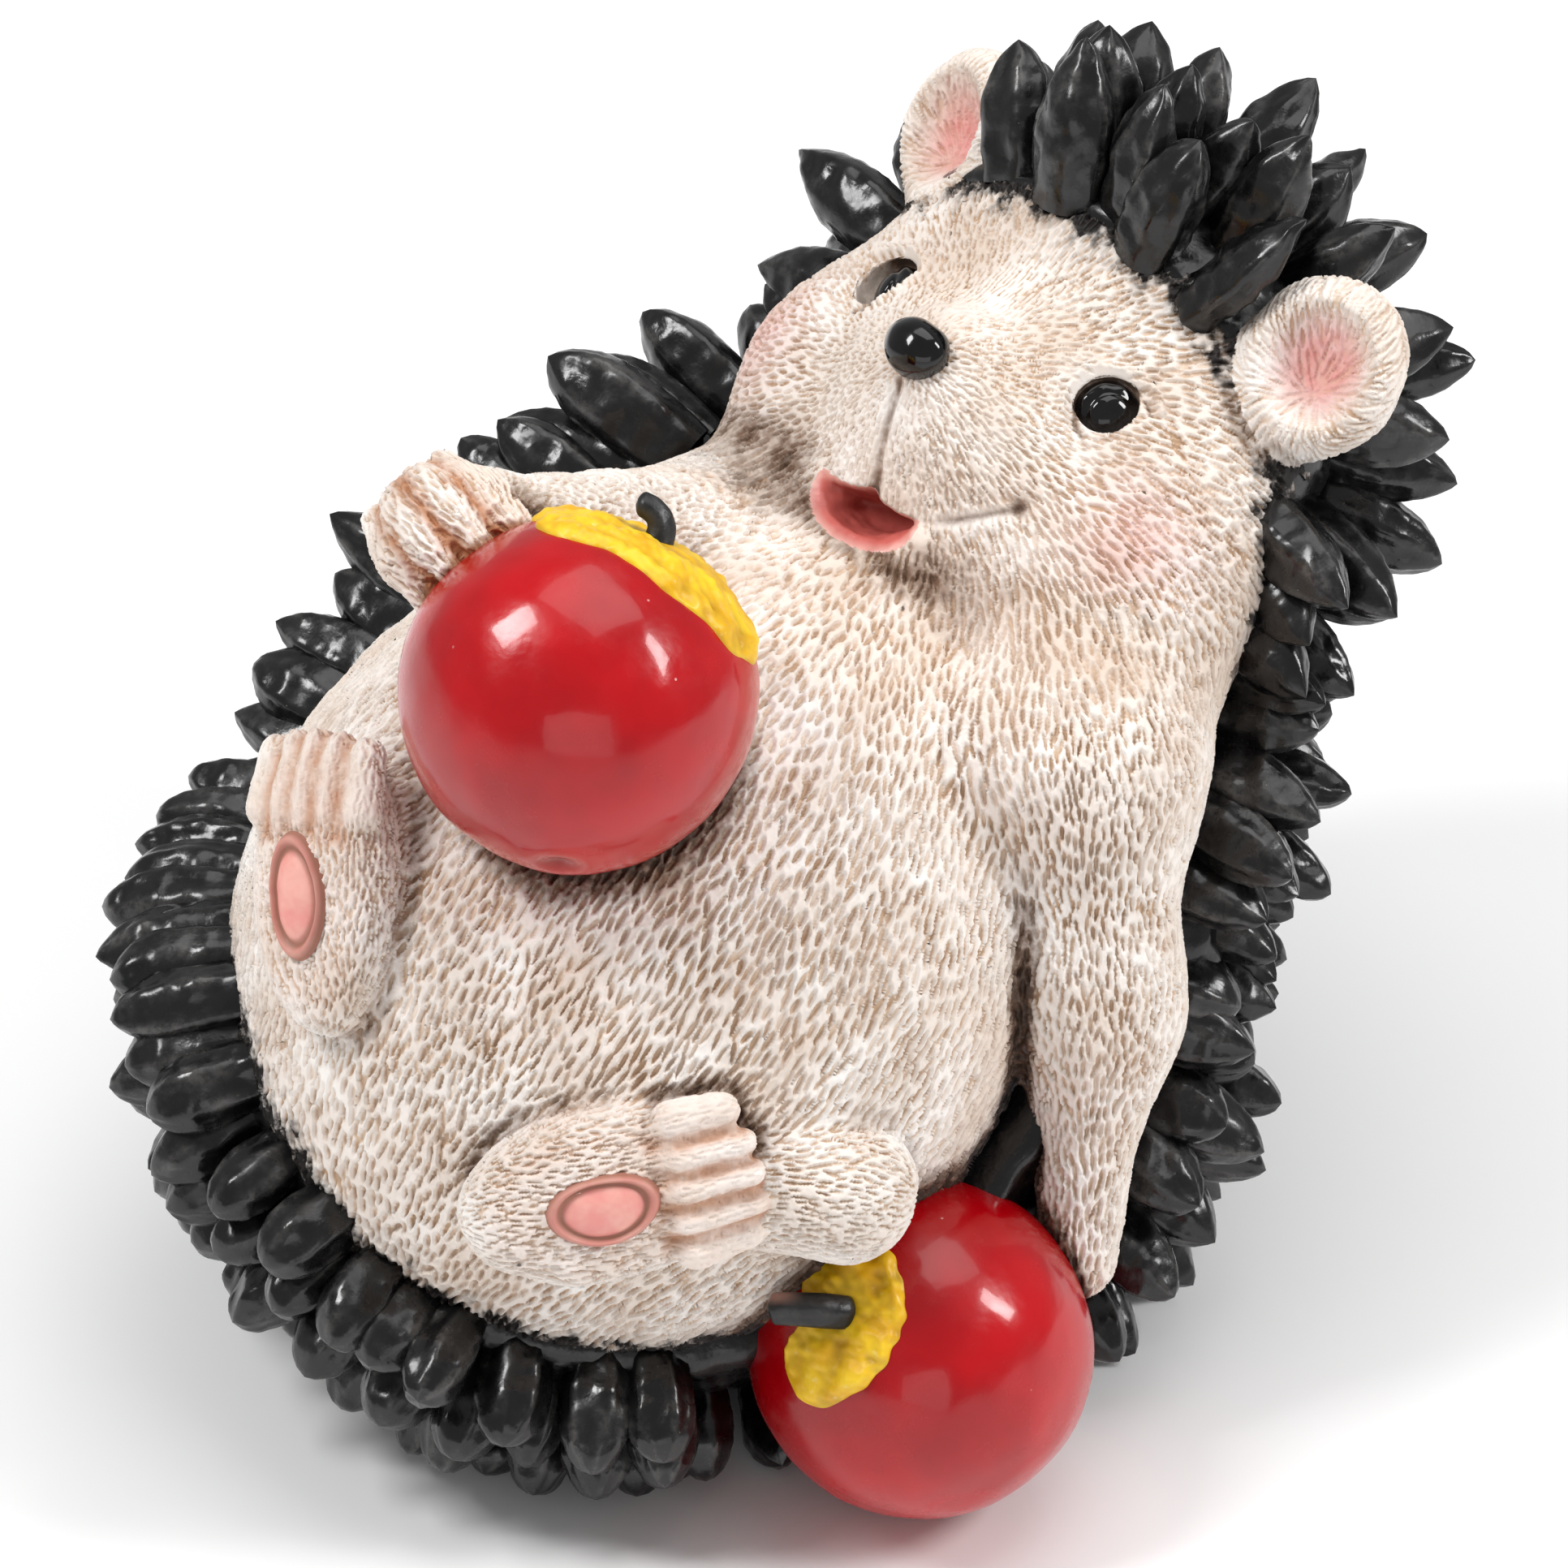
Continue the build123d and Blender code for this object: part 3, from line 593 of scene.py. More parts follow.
class N:
    """Short ways to write shader nodes."""

    def __init__(self, nt):
        self.nt = nt
        self.obj = nt.nodes.new("ShaderNodeTexCoord").outputs["Object"]

    def attr(self, name):
        n = self.nt.nodes.new("ShaderNodeAttribute")
        n.attribute_name = name
        return n.outputs["Fac"]

    def noise(self, scale, detail=3.0, rough=0.55, off=0.0, stretch=None):
        n = self.nt.nodes.new("ShaderNodeTexNoise")
        n.inputs["Scale"].default_value = scale
        n.inputs["Detail"].default_value = detail
        n.inputs["Roughness"].default_value = rough
        mp = self.nt.nodes.new("ShaderNodeMapping")
        mp.inputs["Location"].default_value = (off, off * 0.7, off * 1.3)
        if stretch:
            mp.inputs["Scale"].default_value = stretch
        self.nt.links.new(self.obj, mp.inputs[0])
        self.nt.links.new(mp.outputs[0], n.inputs["Vector"])
        return n.outputs["Fac"]

    def voro(self, scale, off=0.0):
        n = self.nt.nodes.new("ShaderNodeTexVoronoi")
        n.inputs["Scale"].default_value = scale
        n.inputs["Randomness"].default_value = 1.0
        mp = self.nt.nodes.new("ShaderNodeMapping")
        mp.inputs["Location"].default_value = (off, off, off)
        self.nt.links.new(self.obj, mp.inputs[0])
        self.nt.links.new(mp.outputs[0], n.inputs["Vector"])
        return n.outputs["Distance"]

    def put(self, sock, v):
        if hasattr(v, "links") or hasattr(v, "is_output"):
            self.nt.links.new(v, sock)
        else:
            sock.default_value = v

    def math(self, op, a, b=0.0, clamp=False):
        n = self.nt.nodes.new("ShaderNodeMath")
        n.operation = op
        n.use_clamp = clamp
        self.put(n.inputs[0], a)
        self.put(n.inputs[1], b)
        return n.outputs[0]

    def ramp(self, v, a, b, lo=0.0, hi=1.0):
        n = self.nt.nodes.new("ShaderNodeMapRange")
        n.interpolation_type = "SMOOTHSTEP"
        self.put(n.inputs["Value"], v)
        n.inputs["From Min"].default_value = a
        n.inputs["From Max"].default_value = b
        n.inputs["To Min"].default_value = lo
        n.inputs["To Max"].default_value = hi
        return n.outputs["Result"]

    def mix(self, f, a, b, mode="MIX"):
        n = self.nt.nodes.new("ShaderNodeMix")
        n.data_type = "RGBA"
        n.blend_type = mode
        self.put(n.inputs["Factor"], f)
        ins = [i for i in n.inputs if i.type == "RGBA"]
        for s, v in zip(ins, (a, b)):
            self.put(s, v if not isinstance(v, tuple) else (*v, 1.0)[:4])
        return [o for o in n.outputs if o.type == "RGBA"][0]

    def bump(self, height, strength, dist, normal=None):
        n = self.nt.nodes.new("ShaderNodeBump")
        n.inputs["Strength"].default_value = strength
        n.inputs["Distance"].default_value = dist
        self.put(n.inputs["Height"], height)
        if normal is not None:
            self.nt.links.new(normal, n.inputs["Normal"])
        return n.outputs[0]


def srgb(r, g, b):
    return tuple(((c / 255) / 12.92 if c / 255 <= 0.04045 else ((c / 255 + 0.055) / 1.055) ** 2.4) for c in (r, g, b))


def fur_material():
    m, nt, bs = tree("fur_paint")
    n = N(nt)
    cav, shade_and_wash, ink, pink, white = (n.attr(k) for k in ("cav", "shade_and_wash", "ink", "pink", "white"))
    patch = n.noise(160, 3)
    fine = n.noise(900, 4, 0.6, 3.0)
    c = n.mix(n.ramp(patch, 0.38, 0.62), srgb(240, 231, 223), srgb(251, 247, 243))
    rec = n.mix(n.ramp(patch, 0.35, 0.65), srgb(184, 149, 117), srgb(218, 190, 162))
    # tan paint lies in the strokes, less on the whiter patches
    f = n.math("MULTIPLY", n.ramp(cav, 0.30, 0.85), n.ramp(n.noise(330, 2, 0.5, 7.0), 0.2, 0.6, 0.55, 1.0))
    f = n.math("MULTIPLY", f, n.math("SUBTRACT", 1.0, n.math("MULTIPLY", white, 0.6)))
    c = n.mix(f, c, rec)
    # painted shade in the deepest part of the strokes
    c = n.mix(n.math("MULTIPLY", n.ramp(cav, 0.72, 1.0), n.ramp(n.noise(260, 2, 0.5, 17.0), 0.35, 0.62, 0.10, 0.48)), c, srgb(128, 98, 74))
    # thin overall tint where the paint was rubbed less
    c = n.mix(n.math("MULTIPLY", n.ramp(n.noise(90, 3, 0.6, 11.0), 0.40, 0.72), 0.34), c, srgb(214, 187, 164))
    tint = n.attr("tint")
    c = n.mix(n.math("MULTIPLY", tint, 0.42), c, srgb(196, 166, 138))
    # painted shade: brown in the creases and hollows, deepest brown where they are tightest, together with brown wash
    # paint
    w = n.math("MULTIPLY", shade_and_wash, n.ramp(fine, 0.30, 0.62, 0.72, 1.0))
    c = n.mix(n.ramp(w, 0.25, 0.95, 0.0, 0.92), c, srgb(112, 82, 60))
    c = n.mix(n.ramp(w, 0.80, 1.15, 0.0, 0.8), c, srgb(52, 36, 28))
    pk = n.math("MULTIPLY", pink, n.ramp(n.noise(420, 3, 0.6, 5.0), 0.25, 0.6, 0.6, 1.0))
    pk = n.math("MULTIPLY", pk, n.math("SUBTRACT", 1.0, n.math("MULTIPLY", f, 0.5)))
    c = n.mix(pk, c, srgb(224, 122, 118))
    c = n.mix(n.math("MULTIPLY", n.attr("skin"), 0.8), c, srgb(232, 190, 168))
    # orange paint on the paw and toes, together with painted shade in the furrows and hollows
    c = n.mix(n.math("MULTIPLY", n.attr("orange_paint_and_shade"), n.ramp(n.noise(380, 3, 0.6, 19.0), 0.30, 0.60, 0.45, 0.95)), c, srgb(186, 128, 88))
    ik = n.math("MULTIPLY", ink, n.ramp(n.noise(700, 4, 0.65, 9.0), 0.28, 0.62, 0.35, 1.0), True)
    c = n.mix(n.ramp(ik, 0.08, 0.75), c, srgb(30, 24, 22))
    # pinholes
    hole = n.ramp(n.voro(210, 2.0), 0.045, 0.075, 1.0, 0.0)
    gate = n.ramp(n.noise(130, 2, 0.5, 21.0), 0.60, 0.66)
    hole = n.math("MULTIPLY", hole, gate)
    c = n.mix(n.math("MULTIPLY", hole, 0.85), c, srgb(70, 50, 40))
    nt.links.new(c, bs.inputs["Base Color"])
    r = n.ramp(n.noise(500, 3, 0.6, 15.0), 0.3, 0.7, 0.50, 0.68)
    nt.links.new(r, bs.inputs["Roughness"])
    bs.inputs["Specular IOR Level"].default_value = 0.42
    b0 = n.bump(n.math("MULTIPLY", cav, -1.0), 0.55, 0.00022)
    b1 = n.bump(fine, 0.30, 0.00012, b0)
    b2 = n.bump(n.noise(2600, 3, 0.6, 1.0), 0.22, 0.00005, b1)
    b3 = n.bump(n.math("MULTIPLY", hole, -1.0), 0.8, 0.0003, b2)
    nt.links.new(b3, bs.inputs["Normal"])
    return m


def quill_material(name="quill_paint"):
    m, nt, bs = tree(name)
    n = N(nt)
    ridge = n.attr("ridge")
    big = n.noise(170, 4, 0.6)
    fine = n.noise(1100, 4, 0.65, 4.0)
    # light grey on the ridges: drybrush paint together with painted sheen along them
    drybrush_and_sheen = n.math("MULTIPLY", n.ramp(ridge, 0.30, 0.90), n.ramp(big, 0.42, 0.66))
    drybrush_and_sheen = n.math("MULTIPLY", drybrush_and_sheen, n.ramp(fine, 0.36, 0.60, 0.25, 1.0))
    c = n.mix(n.ramp(big, 0.3, 0.7), srgb(10, 10, 11), srgb(20, 19, 20))
    c = n.mix(n.math("MULTIPLY", drybrush_and_sheen, 0.42), c, srgb(112, 110, 108))
    # painted shade at the quill roots and on the coat between them
    c = n.mix(n.math("MULTIPLY", n.attr("root"), 0.85), c, srgb(4, 4, 4))
    dust = n.math("MULTIPLY", n.ramp(n.voro(900, 1.0), 0.03, 0.06, 1.0, 0.0), n.ramp(n.noise(260, 2, 0.5, 31.0), 0.55, 0.62))
    c = n.mix(n.math("MULTIPLY", dust, 0.7), c, srgb(150, 140, 128))
    nt.links.new(c, bs.inputs["Base Color"])
    r = n.ramp(n.noise(360, 4, 0.65, 8.0), 0.3, 0.72, 0.16, 0.38)
    nt.links.new(r, bs.inputs["Roughness"])
    bs.inputs["Specular IOR Level"].default_value = 0.38
    bs.inputs["Coat Weight"].default_value = 0.28
    bs.inputs["Coat Roughness"].default_value = 0.14
    b1 = n.bump(big, 0.28, 0.0006)
    b2 = n.bump(n.noise(620, 3, 0.6, 2.0), 0.32, 0.00022, b1)
    b3 = n.bump(fine, 0.22, 0.0001, b2)
    nt.links.new(b3, bs.inputs["Normal"])
    return m


def apple_material():
    m, nt, bs = tree("apple_paint")
    n = N(nt)
    big = n.noise(70, 3)
    dark = n.attr("shade")
    c = n.mix(n.ramp(big, 0.35, 0.68), srgb(158, 0, 10), srgb(186, 4, 16))
    c = n.mix(n.math("MULTIPLY", dark, 0.7), c, srgb(92, 4, 12))
    speck = n.math("MULTIPLY", n.ramp(n.voro(420, 3.0), 0.040, 0.060, 1.0, 0.0), n.ramp(n.noise(220, 2, 0.5, 12.0), 0.58, 0.64))
    c = n.mix(n.math("MULTIPLY", speck, 0.75), c, srgb(236, 190, 186))
    nt.links.new(c, bs.inputs["Base Color"])
    r = n.ramp(n.noise(240, 4, 0.6, 6.0), 0.3, 0.7, 0.17, 0.30)
    nt.links.new(r, bs.inputs["Roughness"])
    bs.inputs["Specular IOR Level"].default_value = 0.32
    bs.inputs["Coat Weight"].default_value = 0.35
    bs.inputs["Coat Roughness"].default_value = 0.07
    b1 = n.bump(n.noise(190, 3, 0.55, 2.0), 0.20, 0.0006)
    b2 = n.bump(n.noise(760, 3, 0.6, 5.0), 0.14, 0.00015, b1)
    nt.links.new(b2, bs.inputs["Normal"])
    return m


def leaf_material():
    m, nt, bs = tree("leaf_paint")
    n = N(nt)
    c = n.mix(n.ramp(n.noise(260, 4, 0.6), 0.35, 0.65), srgb(228, 172, 10), srgb(246, 204, 34))
    c = n.mix(n.math("MULTIPLY", n.attr("shade"), 0.9), c, srgb(140, 96, 16))
    c = n.mix(n.math("MULTIPLY", n.ramp(n.noise(900, 3, 0.6, 3.0), 0.62, 0.75), 0.35), c, srgb(250, 236, 170))
    nt.links.new(c, bs.inputs["Base Color"])
    nt.links.new(n.ramp(n.noise(500, 3, 0.6, 6.0), 0.3, 0.7, 0.34, 0.52), bs.inputs["Roughness"])
    bs.inputs["Specular IOR Level"].default_value = 0.5
    nt.links.new(n.bump(n.noise(900, 4, 0.6, 2.0), 0.30, 0.00018), bs.inputs["Normal"])
    return m


def stem_material():
    m, nt, bs = tree("stem_paint")
    n = N(nt)
    c = n.mix(n.ramp(n.noise(500, 4, 0.6), 0.4, 0.65), srgb(20, 20, 21), srgb(44, 43, 43))
    c = n.mix(n.math("MULTIPLY", n.attr("worn"), 0.9), c, srgb(170, 128, 116))
    nt.links.new(c, bs.inputs["Base Color"])
    nt.links.new(n.ramp(n.noise(700, 3, 0.6, 6.0), 0.3, 0.7, 0.30, 0.5), bs.inputs["Roughness"])
    nt.links.new(n.bump(n.noise(1200, 4, 0.6, 2.0), 0.4, 0.0002), bs.inputs["Normal"])
    return m


def bead_material():
    m, nt, bs = tree("bead_enamel")
    n = N(nt)
    c = n.mix(n.ramp(n.noise(400, 3, 0.6), 0.4, 0.7), srgb(5, 5, 6), srgb(14, 13, 14))
    nt.links.new(c, bs.inputs["Base Color"])
    nt.links.new(n.ramp(n.noise(300, 3, 0.6, 6.0), 0.3, 0.7, 0.06, 0.14), bs.inputs["Roughness"])
    bs.inputs["Specular IOR Level"].default_value = 0.28
    bs.inputs["Coat Weight"].default_value = 0.45
    bs.inputs["Coat Roughness"].default_value = 0.05
    nt.links.new(n.bump(n.noise(420, 3, 0.6, 2.0), 0.12, 0.0003), bs.inputs["Normal"])
    return m


def mouth_material():
    m, nt, bs = tree("mouth_paint")
    n = N(nt)
    c = n.mix(n.attr("deep"), srgb(242, 190, 178), srgb(222, 112, 102))
    c = n.mix(n.ramp(n.noise(420, 3, 0.6), 0.45, 0.7, 0.0, 0.4), c, srgb(206, 96, 86))
    # painted shade: darker where the lining lies in creases
    c = n.mix(n.math("MULTIPLY", n.attr("shade_and_wash"), 0.35), c, srgb(96, 30, 28))
    nt.links.new(c, bs.inputs["Base Color"])
    nt.links.new(n.ramp(n.noise(700, 3, 0.6, 6.0), 0.3, 0.7, 0.34, 0.5), bs.inputs["Roughness"])
    nt.links.new(n.bump(n.noise(900, 3, 0.6, 2.0), 0.25, 0.0002), bs.inputs["Normal"])
    return m


def pad_material():
    m, nt, bs = tree("pad_paint")
    n = N(nt)
    rim = n.attr("rim")
    c = n.mix(n.ramp(n.noise(260, 3, 0.6), 0.35, 0.68), srgb(232, 150, 142), srgb(240, 178, 164))
    c = n.mix(n.math("MULTIPLY", rim, 0.92), c, srgb(148, 100, 80))
    nt.links.new(c, bs.inputs["Base Color"])
    nt.links.new(n.ramp(n.noise(700, 3, 0.6, 6.0), 0.3, 0.7, 0.45, 0.62), bs.inputs["Roughness"])
    nt.links.new(n.bump(n.noise(800, 4, 0.6, 2.0), 0.35, 0.0002), bs.inputs["Normal"])
    return m


MAT = {"fur": fur_material(), "quill": quill_material(), "apple": apple_material(), "leaf": leaf_material(),
       "stem": stem_material(), "bead": bead_material(), "mouth": mouth_material(), "pad": pad_material()}


# --------------------------------------------------------------- fur: flow, strokes
ARM_DIR = unit(ARM_R[1] - ARM_R[0])


def flows(P):
    """One direction per part: how the tool strokes run there."""
    out = []
    src = CB + LX * 60 + MX * 8
    out.append(P - src.astype(f32))
    out.append(P - h(0, 15.5, 2.5).astype(f32))
    for s in (0, 1):
        out.append(P - (EARS[s] + UH * -3.0 + EAR_F[s] * 0.0).astype(f32))
    out.append(np.broadcast_to(ARM_DIR.astype(f32), P.shape))
    out.append(np.broadcast_to(unit(FINGERS[0][2] - FINGERS[0][0]).astype(f32), P.shape))
    w = step(-(P - ARM_L[1].astype(f32)) @ unit(ARM_L[2] - ARM_L[0]).astype(f32), -6, 6)[:, None]
    out.append(w * unit(ARM_L[1] - ARM_L[0]).astype(f32) + (1 - w) * unit(ARM_L[2] - ARM_L[1]).astype(f32))
    out.append(np.broadcast_to(unit(LEG_L[1] - LEG_L[0]).astype(f32), P.shape))
    out.append(np.broadcast_to(unit(THIGH_R[1] - THIGH_R[0]).astype(f32), P.shape))
    out.append(np.broadcast_to((-FOOT[1]["a"]).astype(f32), P.shape))
    out.append(np.broadcast_to((-FOOT[0]["a"]).astype(f32), P.shape))
    return out


def flow_at(P, Nr, D):
    w = np.exp(-np.clip(D - D.min(1, keepdims=True), 0, 12) / 1.1)
    acc = np.zeros_like(P)
    for i, v in enumerate(flows(P)):
        v = v / (np.linalg.norm(v, axis=1, keepdims=True) + 1e-6)
        acc += w[:, i:i + 1] * v
    acc -= Nr * np.einsum("ij,ij->i", acc, Nr)[:, None]
    return acc / (np.linalg.norm(acc, axis=1, keepdims=True) + 1e-6)


def stroke_scale(P, D):
    """Size of the tool strokes: small on the face and feet, larger on the belly."""
    s = np.full(len(P), 1.0, f32)
    part = D.argmin(1)
    r = np.linalg.norm(P - NOSE.astype(f32), axis=1)
    s = np.where(part == 1, 0.56 + 0.26 * step(r, 6, 26), s)
    s = np.where((part == 2) | (part == 3), 0.70, s)
    s = np.where((part == 4) | (part == 5), 0.78, s)
    s = np.where(part == 6, 0.86, s)
    s = np.where(part >= 7, 0.66, s)
    return s


def build_fur():
    lo, hi = (-40, -48, 2), (52, 70, 104)
    def keep(c):
        limbs = np.minimum.reduce([d_arm_l(c), d_paw(c), d_ear_r(c), d_ear_l(c), d_foot_r(c), d_foot_l(c)])
        return (seam(c) > -3.0) | (limbs < 2.0)

    P, Q = surface_nets(d_fur, lo, hi, FINE, keep=keep)
    for _ in range(2):
        g = in_chunks(lambda q: gradient(d_fur, q), P)
        d = in_chunks(d_fur, P)
        P = P - g * (d / (np.einsum("ij,ij->i", g, g) + 0.05))[:, None] * 0.8
    used = np.unique(Q)
    remap = np.full(len(P), -1)
    remap[used] = np.arange(len(used))
    P, Q = P[used], remap[Q]
    g = in_chunks(lambda q: gradient(d_fur, q, 0.08), P)
    Nr = g / (np.linalg.norm(g, axis=1, keepdims=True) + 1e-9)
    D = in_chunks(d_parts, P)
    part = D.argmin(1)
    sm = in_chunks(seam, P)

    # areas without strokes
    mouth = in_chunks(lambda q: mouth_cut(q), P)
    in_mouth = mouth < 0.25
    lip = np.min([np.linalg.norm(P - np.asarray(c, f32), axis=1) for c in LIP], axis=0)
    eye_r = np.min([np.linalg.norm(P - e.astype(f32), axis=1) for e in EYES], axis=0)
    plain = in_mouth | (lip < 1.4) | (eye_r < 4.3)

    # stroke places: dart throwing with an oval distance along the flow
    n_cand = int(len(P) * (0.30))
    free = np.nonzero(~plain & ((sm > -1.0) | (part >= 2)))[0]
    cand = np.sort(rng.choice(free, min(n_cand, len(free)), replace=False))
    cp = P[cand]
    cn = Nr[cand]
    cd = flow_at(cp, cn, D[cand])
    cs = stroke_scale(cp, D[cand])
    ia, ib = near_pairs(cp, cp, 1.75)
    m = ia < ib
    ia, ib = ia[m], ib[m]
    dv = cp[ib] - cp[ia]
    al = np.einsum("ij,ij->i", dv, cd[ia])
    ac2 = np.maximum(np.einsum("ij,ij->i", dv, dv) - al * al, 0)
    sc = cs[ia]
    ear_c = ((D[cand].argmin(1) == 2) | (D[cand].argmin(1) == 3))
    long = np.where(ear_c[ia], 1.5, 1.0)
    close = (al / (1.62 * sc * long)) ** 2 + ac2 / (0.60 * sc) ** 2 < 1
    ia, ib = ia[close], ib[close]
    n = len(cp)
    a2 = np.concatenate([ia, ib])
    b2 = np.concatenate([ib, ia])
    o = np.argsort(a2, kind="stable")
    a2, b2 = a2[o], b2[o]
    start = np.searchsorted(a2, np.arange(n + 1))
    alive = np.ones(n, bool)
    taken = []
    for i in rng.permutation(n):
        if alive[i]:
            taken.append(i)
            alive[b2[start[i]:start[i + 1]]] = False
    taken = np.array(taken)
    sp, sn, sd, ss = cp[taken], cn[taken], cd[taken], cs[taken]
    turn = rng.normal(0, math.radians(7), len(taken)).astype(f32)
    sb = np.cross(sn, sd)
    sd = sd * np.cos(turn)[:, None] + sb * np.sin(turn)[:, None]
    sb = np.cross(sn, sd)
    sa = (0.98 * ss * rng.uniform(0.75, 1.25, len(ss))).astype(f32)
    sw = (0.225 * ss * rng.uniform(0.8, 1.25, len(ss))).astype(f32)
    sk = rng.uniform(0.7, 1.15, len(ss)).astype(f32)
    sa = np.where(ear_c[taken], sa * 1.7, sa).astype(f32)
    print("strokes", len(taken), "points", len(P), flush=True)

    rec = np.zeros(len(P), f32)
    lipr = np.zeros(len(P), f32)
    for s in range(0, len(sp), 6000):
        e = min(s + 6000, len(sp))
        ia, ib = near_pairs(sp[s:e], P, 1.3)
        ia += s
        dv = P[ib] - sp[ia]
        al = np.einsum("ij,ij->i", dv, sd[ia])
        ac = np.einsum("ij,ij->i", dv, sb[ia])
        nn = np.einsum("ij,ij->i", dv, sn[ia])
        # pointed at the far end, blunt at the near end
        wd = sw[ia] * (1.0 - 0.25 * np.clip(al / sa[ia], -1, 1))
        q = (al / sa[ia]) ** 2 + (ac / wd) ** 2
        ok = (q < 3.2) & (np.abs(nn) < 0.9)
        ib, q, al, ia = ib[ok], q[ok], al[ok], ia[ok]
        val = sk[ia] * np.clip((1.4 - q) * 1.25, 0, 1.0) * (1.0 + 0.25 * np.clip(al / sa[ia], -1, 1))
        lp = np.clip(1 - np.abs(q - 1.9) / 1.2, 0, 1) * sk[ia]
        np.maximum.at(rec, ib, val)
        np.maximum.at(lipr, ib, lp)
    lipr *= np.clip(1 - rec * 1.6, 0, 1)

    sc = stroke_scale(P, D)
    fade = np.ones(len(P), f32)
    ears = (part == 2) | (part == 3)
    q = P - H.astype(f32)
    x, fz, u = q @ LH.astype(f32), q @ FW.astype(f32), q @ UH.astype(f32)
    bare = np.exp(-((x + 0.12 * (u + 4)) / 0.7) ** 2) * step(u, -11.0, -10.0) * step(-u, -1.0, 0.8)
    bare += np.exp(-((u - lip_line(x)) / 0.8) ** 2) * step(x, 6.0, 7.6) * step(-x, -14.0, -12.8)
    bare = np.clip(bare * (fz > 0) * (part == 1), 0, 1)
    for k, i in ((9, 1), (10, 0)):
        ta = (P - FOOT[i]["c"].astype(f32)) @ FOOT[i]["a"].astype(f32)
        tn = (P - FOOT[i]["c"].astype(f32)) @ FOOT[i]["n"].astype(f32)
        bare += 0.62 * (part == k) * step(ta, 4.6, 5.8) * step(tn, 0.5, 2.5)
    bare = np.clip(bare, 0, 1)
    rec *= 1 - 0.85 * bare
    lipr *= 1 - bare
    rec = np.where(ears, rec * 0.72, rec)
    # long fine scratches in the ears run outwards from their middle
    disp = -0.40 * sc * np.clip(rec, 0, 1.15) + 0.10 * sc * lipr
    lump = Ripple(5, 9.0)(P) * 0.16 + Ripple(6, 3.2)(P) * 0.06
    tool = Ripple(7, 0.9)(P) * 0.018
    disp = disp * fade * np.where(plain, 0.0, 1.0) + lump * np.where(plain, 0.3, 1.0) + tool
    disp[in_mouth] += Ripple(8, 1.4)(P[in_mouth]) * 0.05

    # the groove under the nose and the smile's far ends
    q = P - H.astype(f32)
    x, fz, u = q @ LH.astype(f32), q @ FW.astype(f32), q @ UH.astype(f32)
    front = (part == 1) & (fz > 0)
    lids = np.zeros(len(P), f32)
    for s_, c in zip((-1, 1), EYES):
        qe = P - c.astype(f32)
        ne = unit(c - h(0, -8, 0)).astype(f32)
        he = qe @ ne
        er = np.linalg.norm(qe - he[:, None] * ne, axis=1)
        up = step(qe @ unit(UH * 0.85 - LH * s_ * 0.5).astype(f32), -2.4, 1.6)
        on = (np.abs(he) < 4) & (part == 1)
        disp += on * (0.62 * (0.25 + 0.75 * up) * np.exp(-((er - 4.25 - 0.15 * up) / 0.42) ** 2) - 0.42 * np.exp(-((er - 3.35) / 0.32) ** 2))
        lids += on * (0.9 * np.exp(-((er - 3.2) / 0.30) ** 2) + 0.35 * np.exp(-((er - 5.0) / 0.35) ** 2) * up)
    phil = np.exp(-((x + 0.12 * (u + 4)) / 0.66) ** 2) * step(u, -10.8, -9.8) * step(-u, -1.0, 0.8) * front
    line = lip_line(x)
    ax = np.abs(x)
    smile = np.exp(-((u - line) / 0.50) ** 2) * step(x, 6.4, 7.6) * step(-ax, -13.6, -12.4) * front
    dimple = np.exp(-(((x - 12.9) / 1.1) ** 2 + ((u + 6.0) / 1.1) ** 2)) * front
    disp -= 0.48 * phil + 0.5 * smile + 0.8 * dimple
    furrow = np.zeros(len(P), f32)
    for k, bars in ((5, [(a, b, 1.7) for a, b, c in FINGERS]), (5, [(b, c, 1.7) for a, b, c in FINGERS]),
                    (9, toe_bars(FOOT[1])), (10, toe_bars(FOOT[0]))):
        sel = np.nonzero(part == k)[0]
        if len(sel):
            furrow[sel] = np.maximum(furrow[sel], gap_between(P[sel], bars))
    disp -= 0.34 * furrow
    P2 = P + Nr * disp[:, None].astype(f32)

    # paint masks, painted shade among them
    def around(q):
        return np.minimum(np.minimum(d_fur(q), d_apples(q)), d_coat(q))

    # painted shade: the fur is darker where other surfaces crowd it, in creases and hollows
    a1 = np.clip(in_chunks(around, P + Nr * 1.1) / 1.1, 0, 1)
    a2_ = np.clip(in_chunks(around, P + Nr * 3.6) / 3.6, 0, 1)
    shade_and_wash = 0.62 * (1 - a1) * 1.25 + 0.55 * np.clip(0.93 - a2_, 0, 1)
    # painted shade in the groove under the nose, along the smile and in its dimples
    shade_and_wash += 0.78 * phil + 0.46 * smile + 0.6 * dimple
    Ds = np.sort(D, axis=1)
    limb = (part != 5) & ~ears
    # painted shade in the creases between neighbouring parts
    shade_and_wash += (0.22 + 0.15 * Ripple(24, 5.0)(P)) * np.exp(-((Ds[:, 1] - Ds[:, 0]) / 1.9) ** 2) * limb
    # painted shadow of the apples on the fur beside them
    shade_and_wash += 0.74 * np.exp(-(np.clip(in_chunks(d_apples, P), 0, 20) / 4.8) ** 2) * (part < 5)
    bx = (P - CB.astype(f32)) @ XB.astype(f32)
    bl = (P - CB.astype(f32)) @ LX.astype(f32)
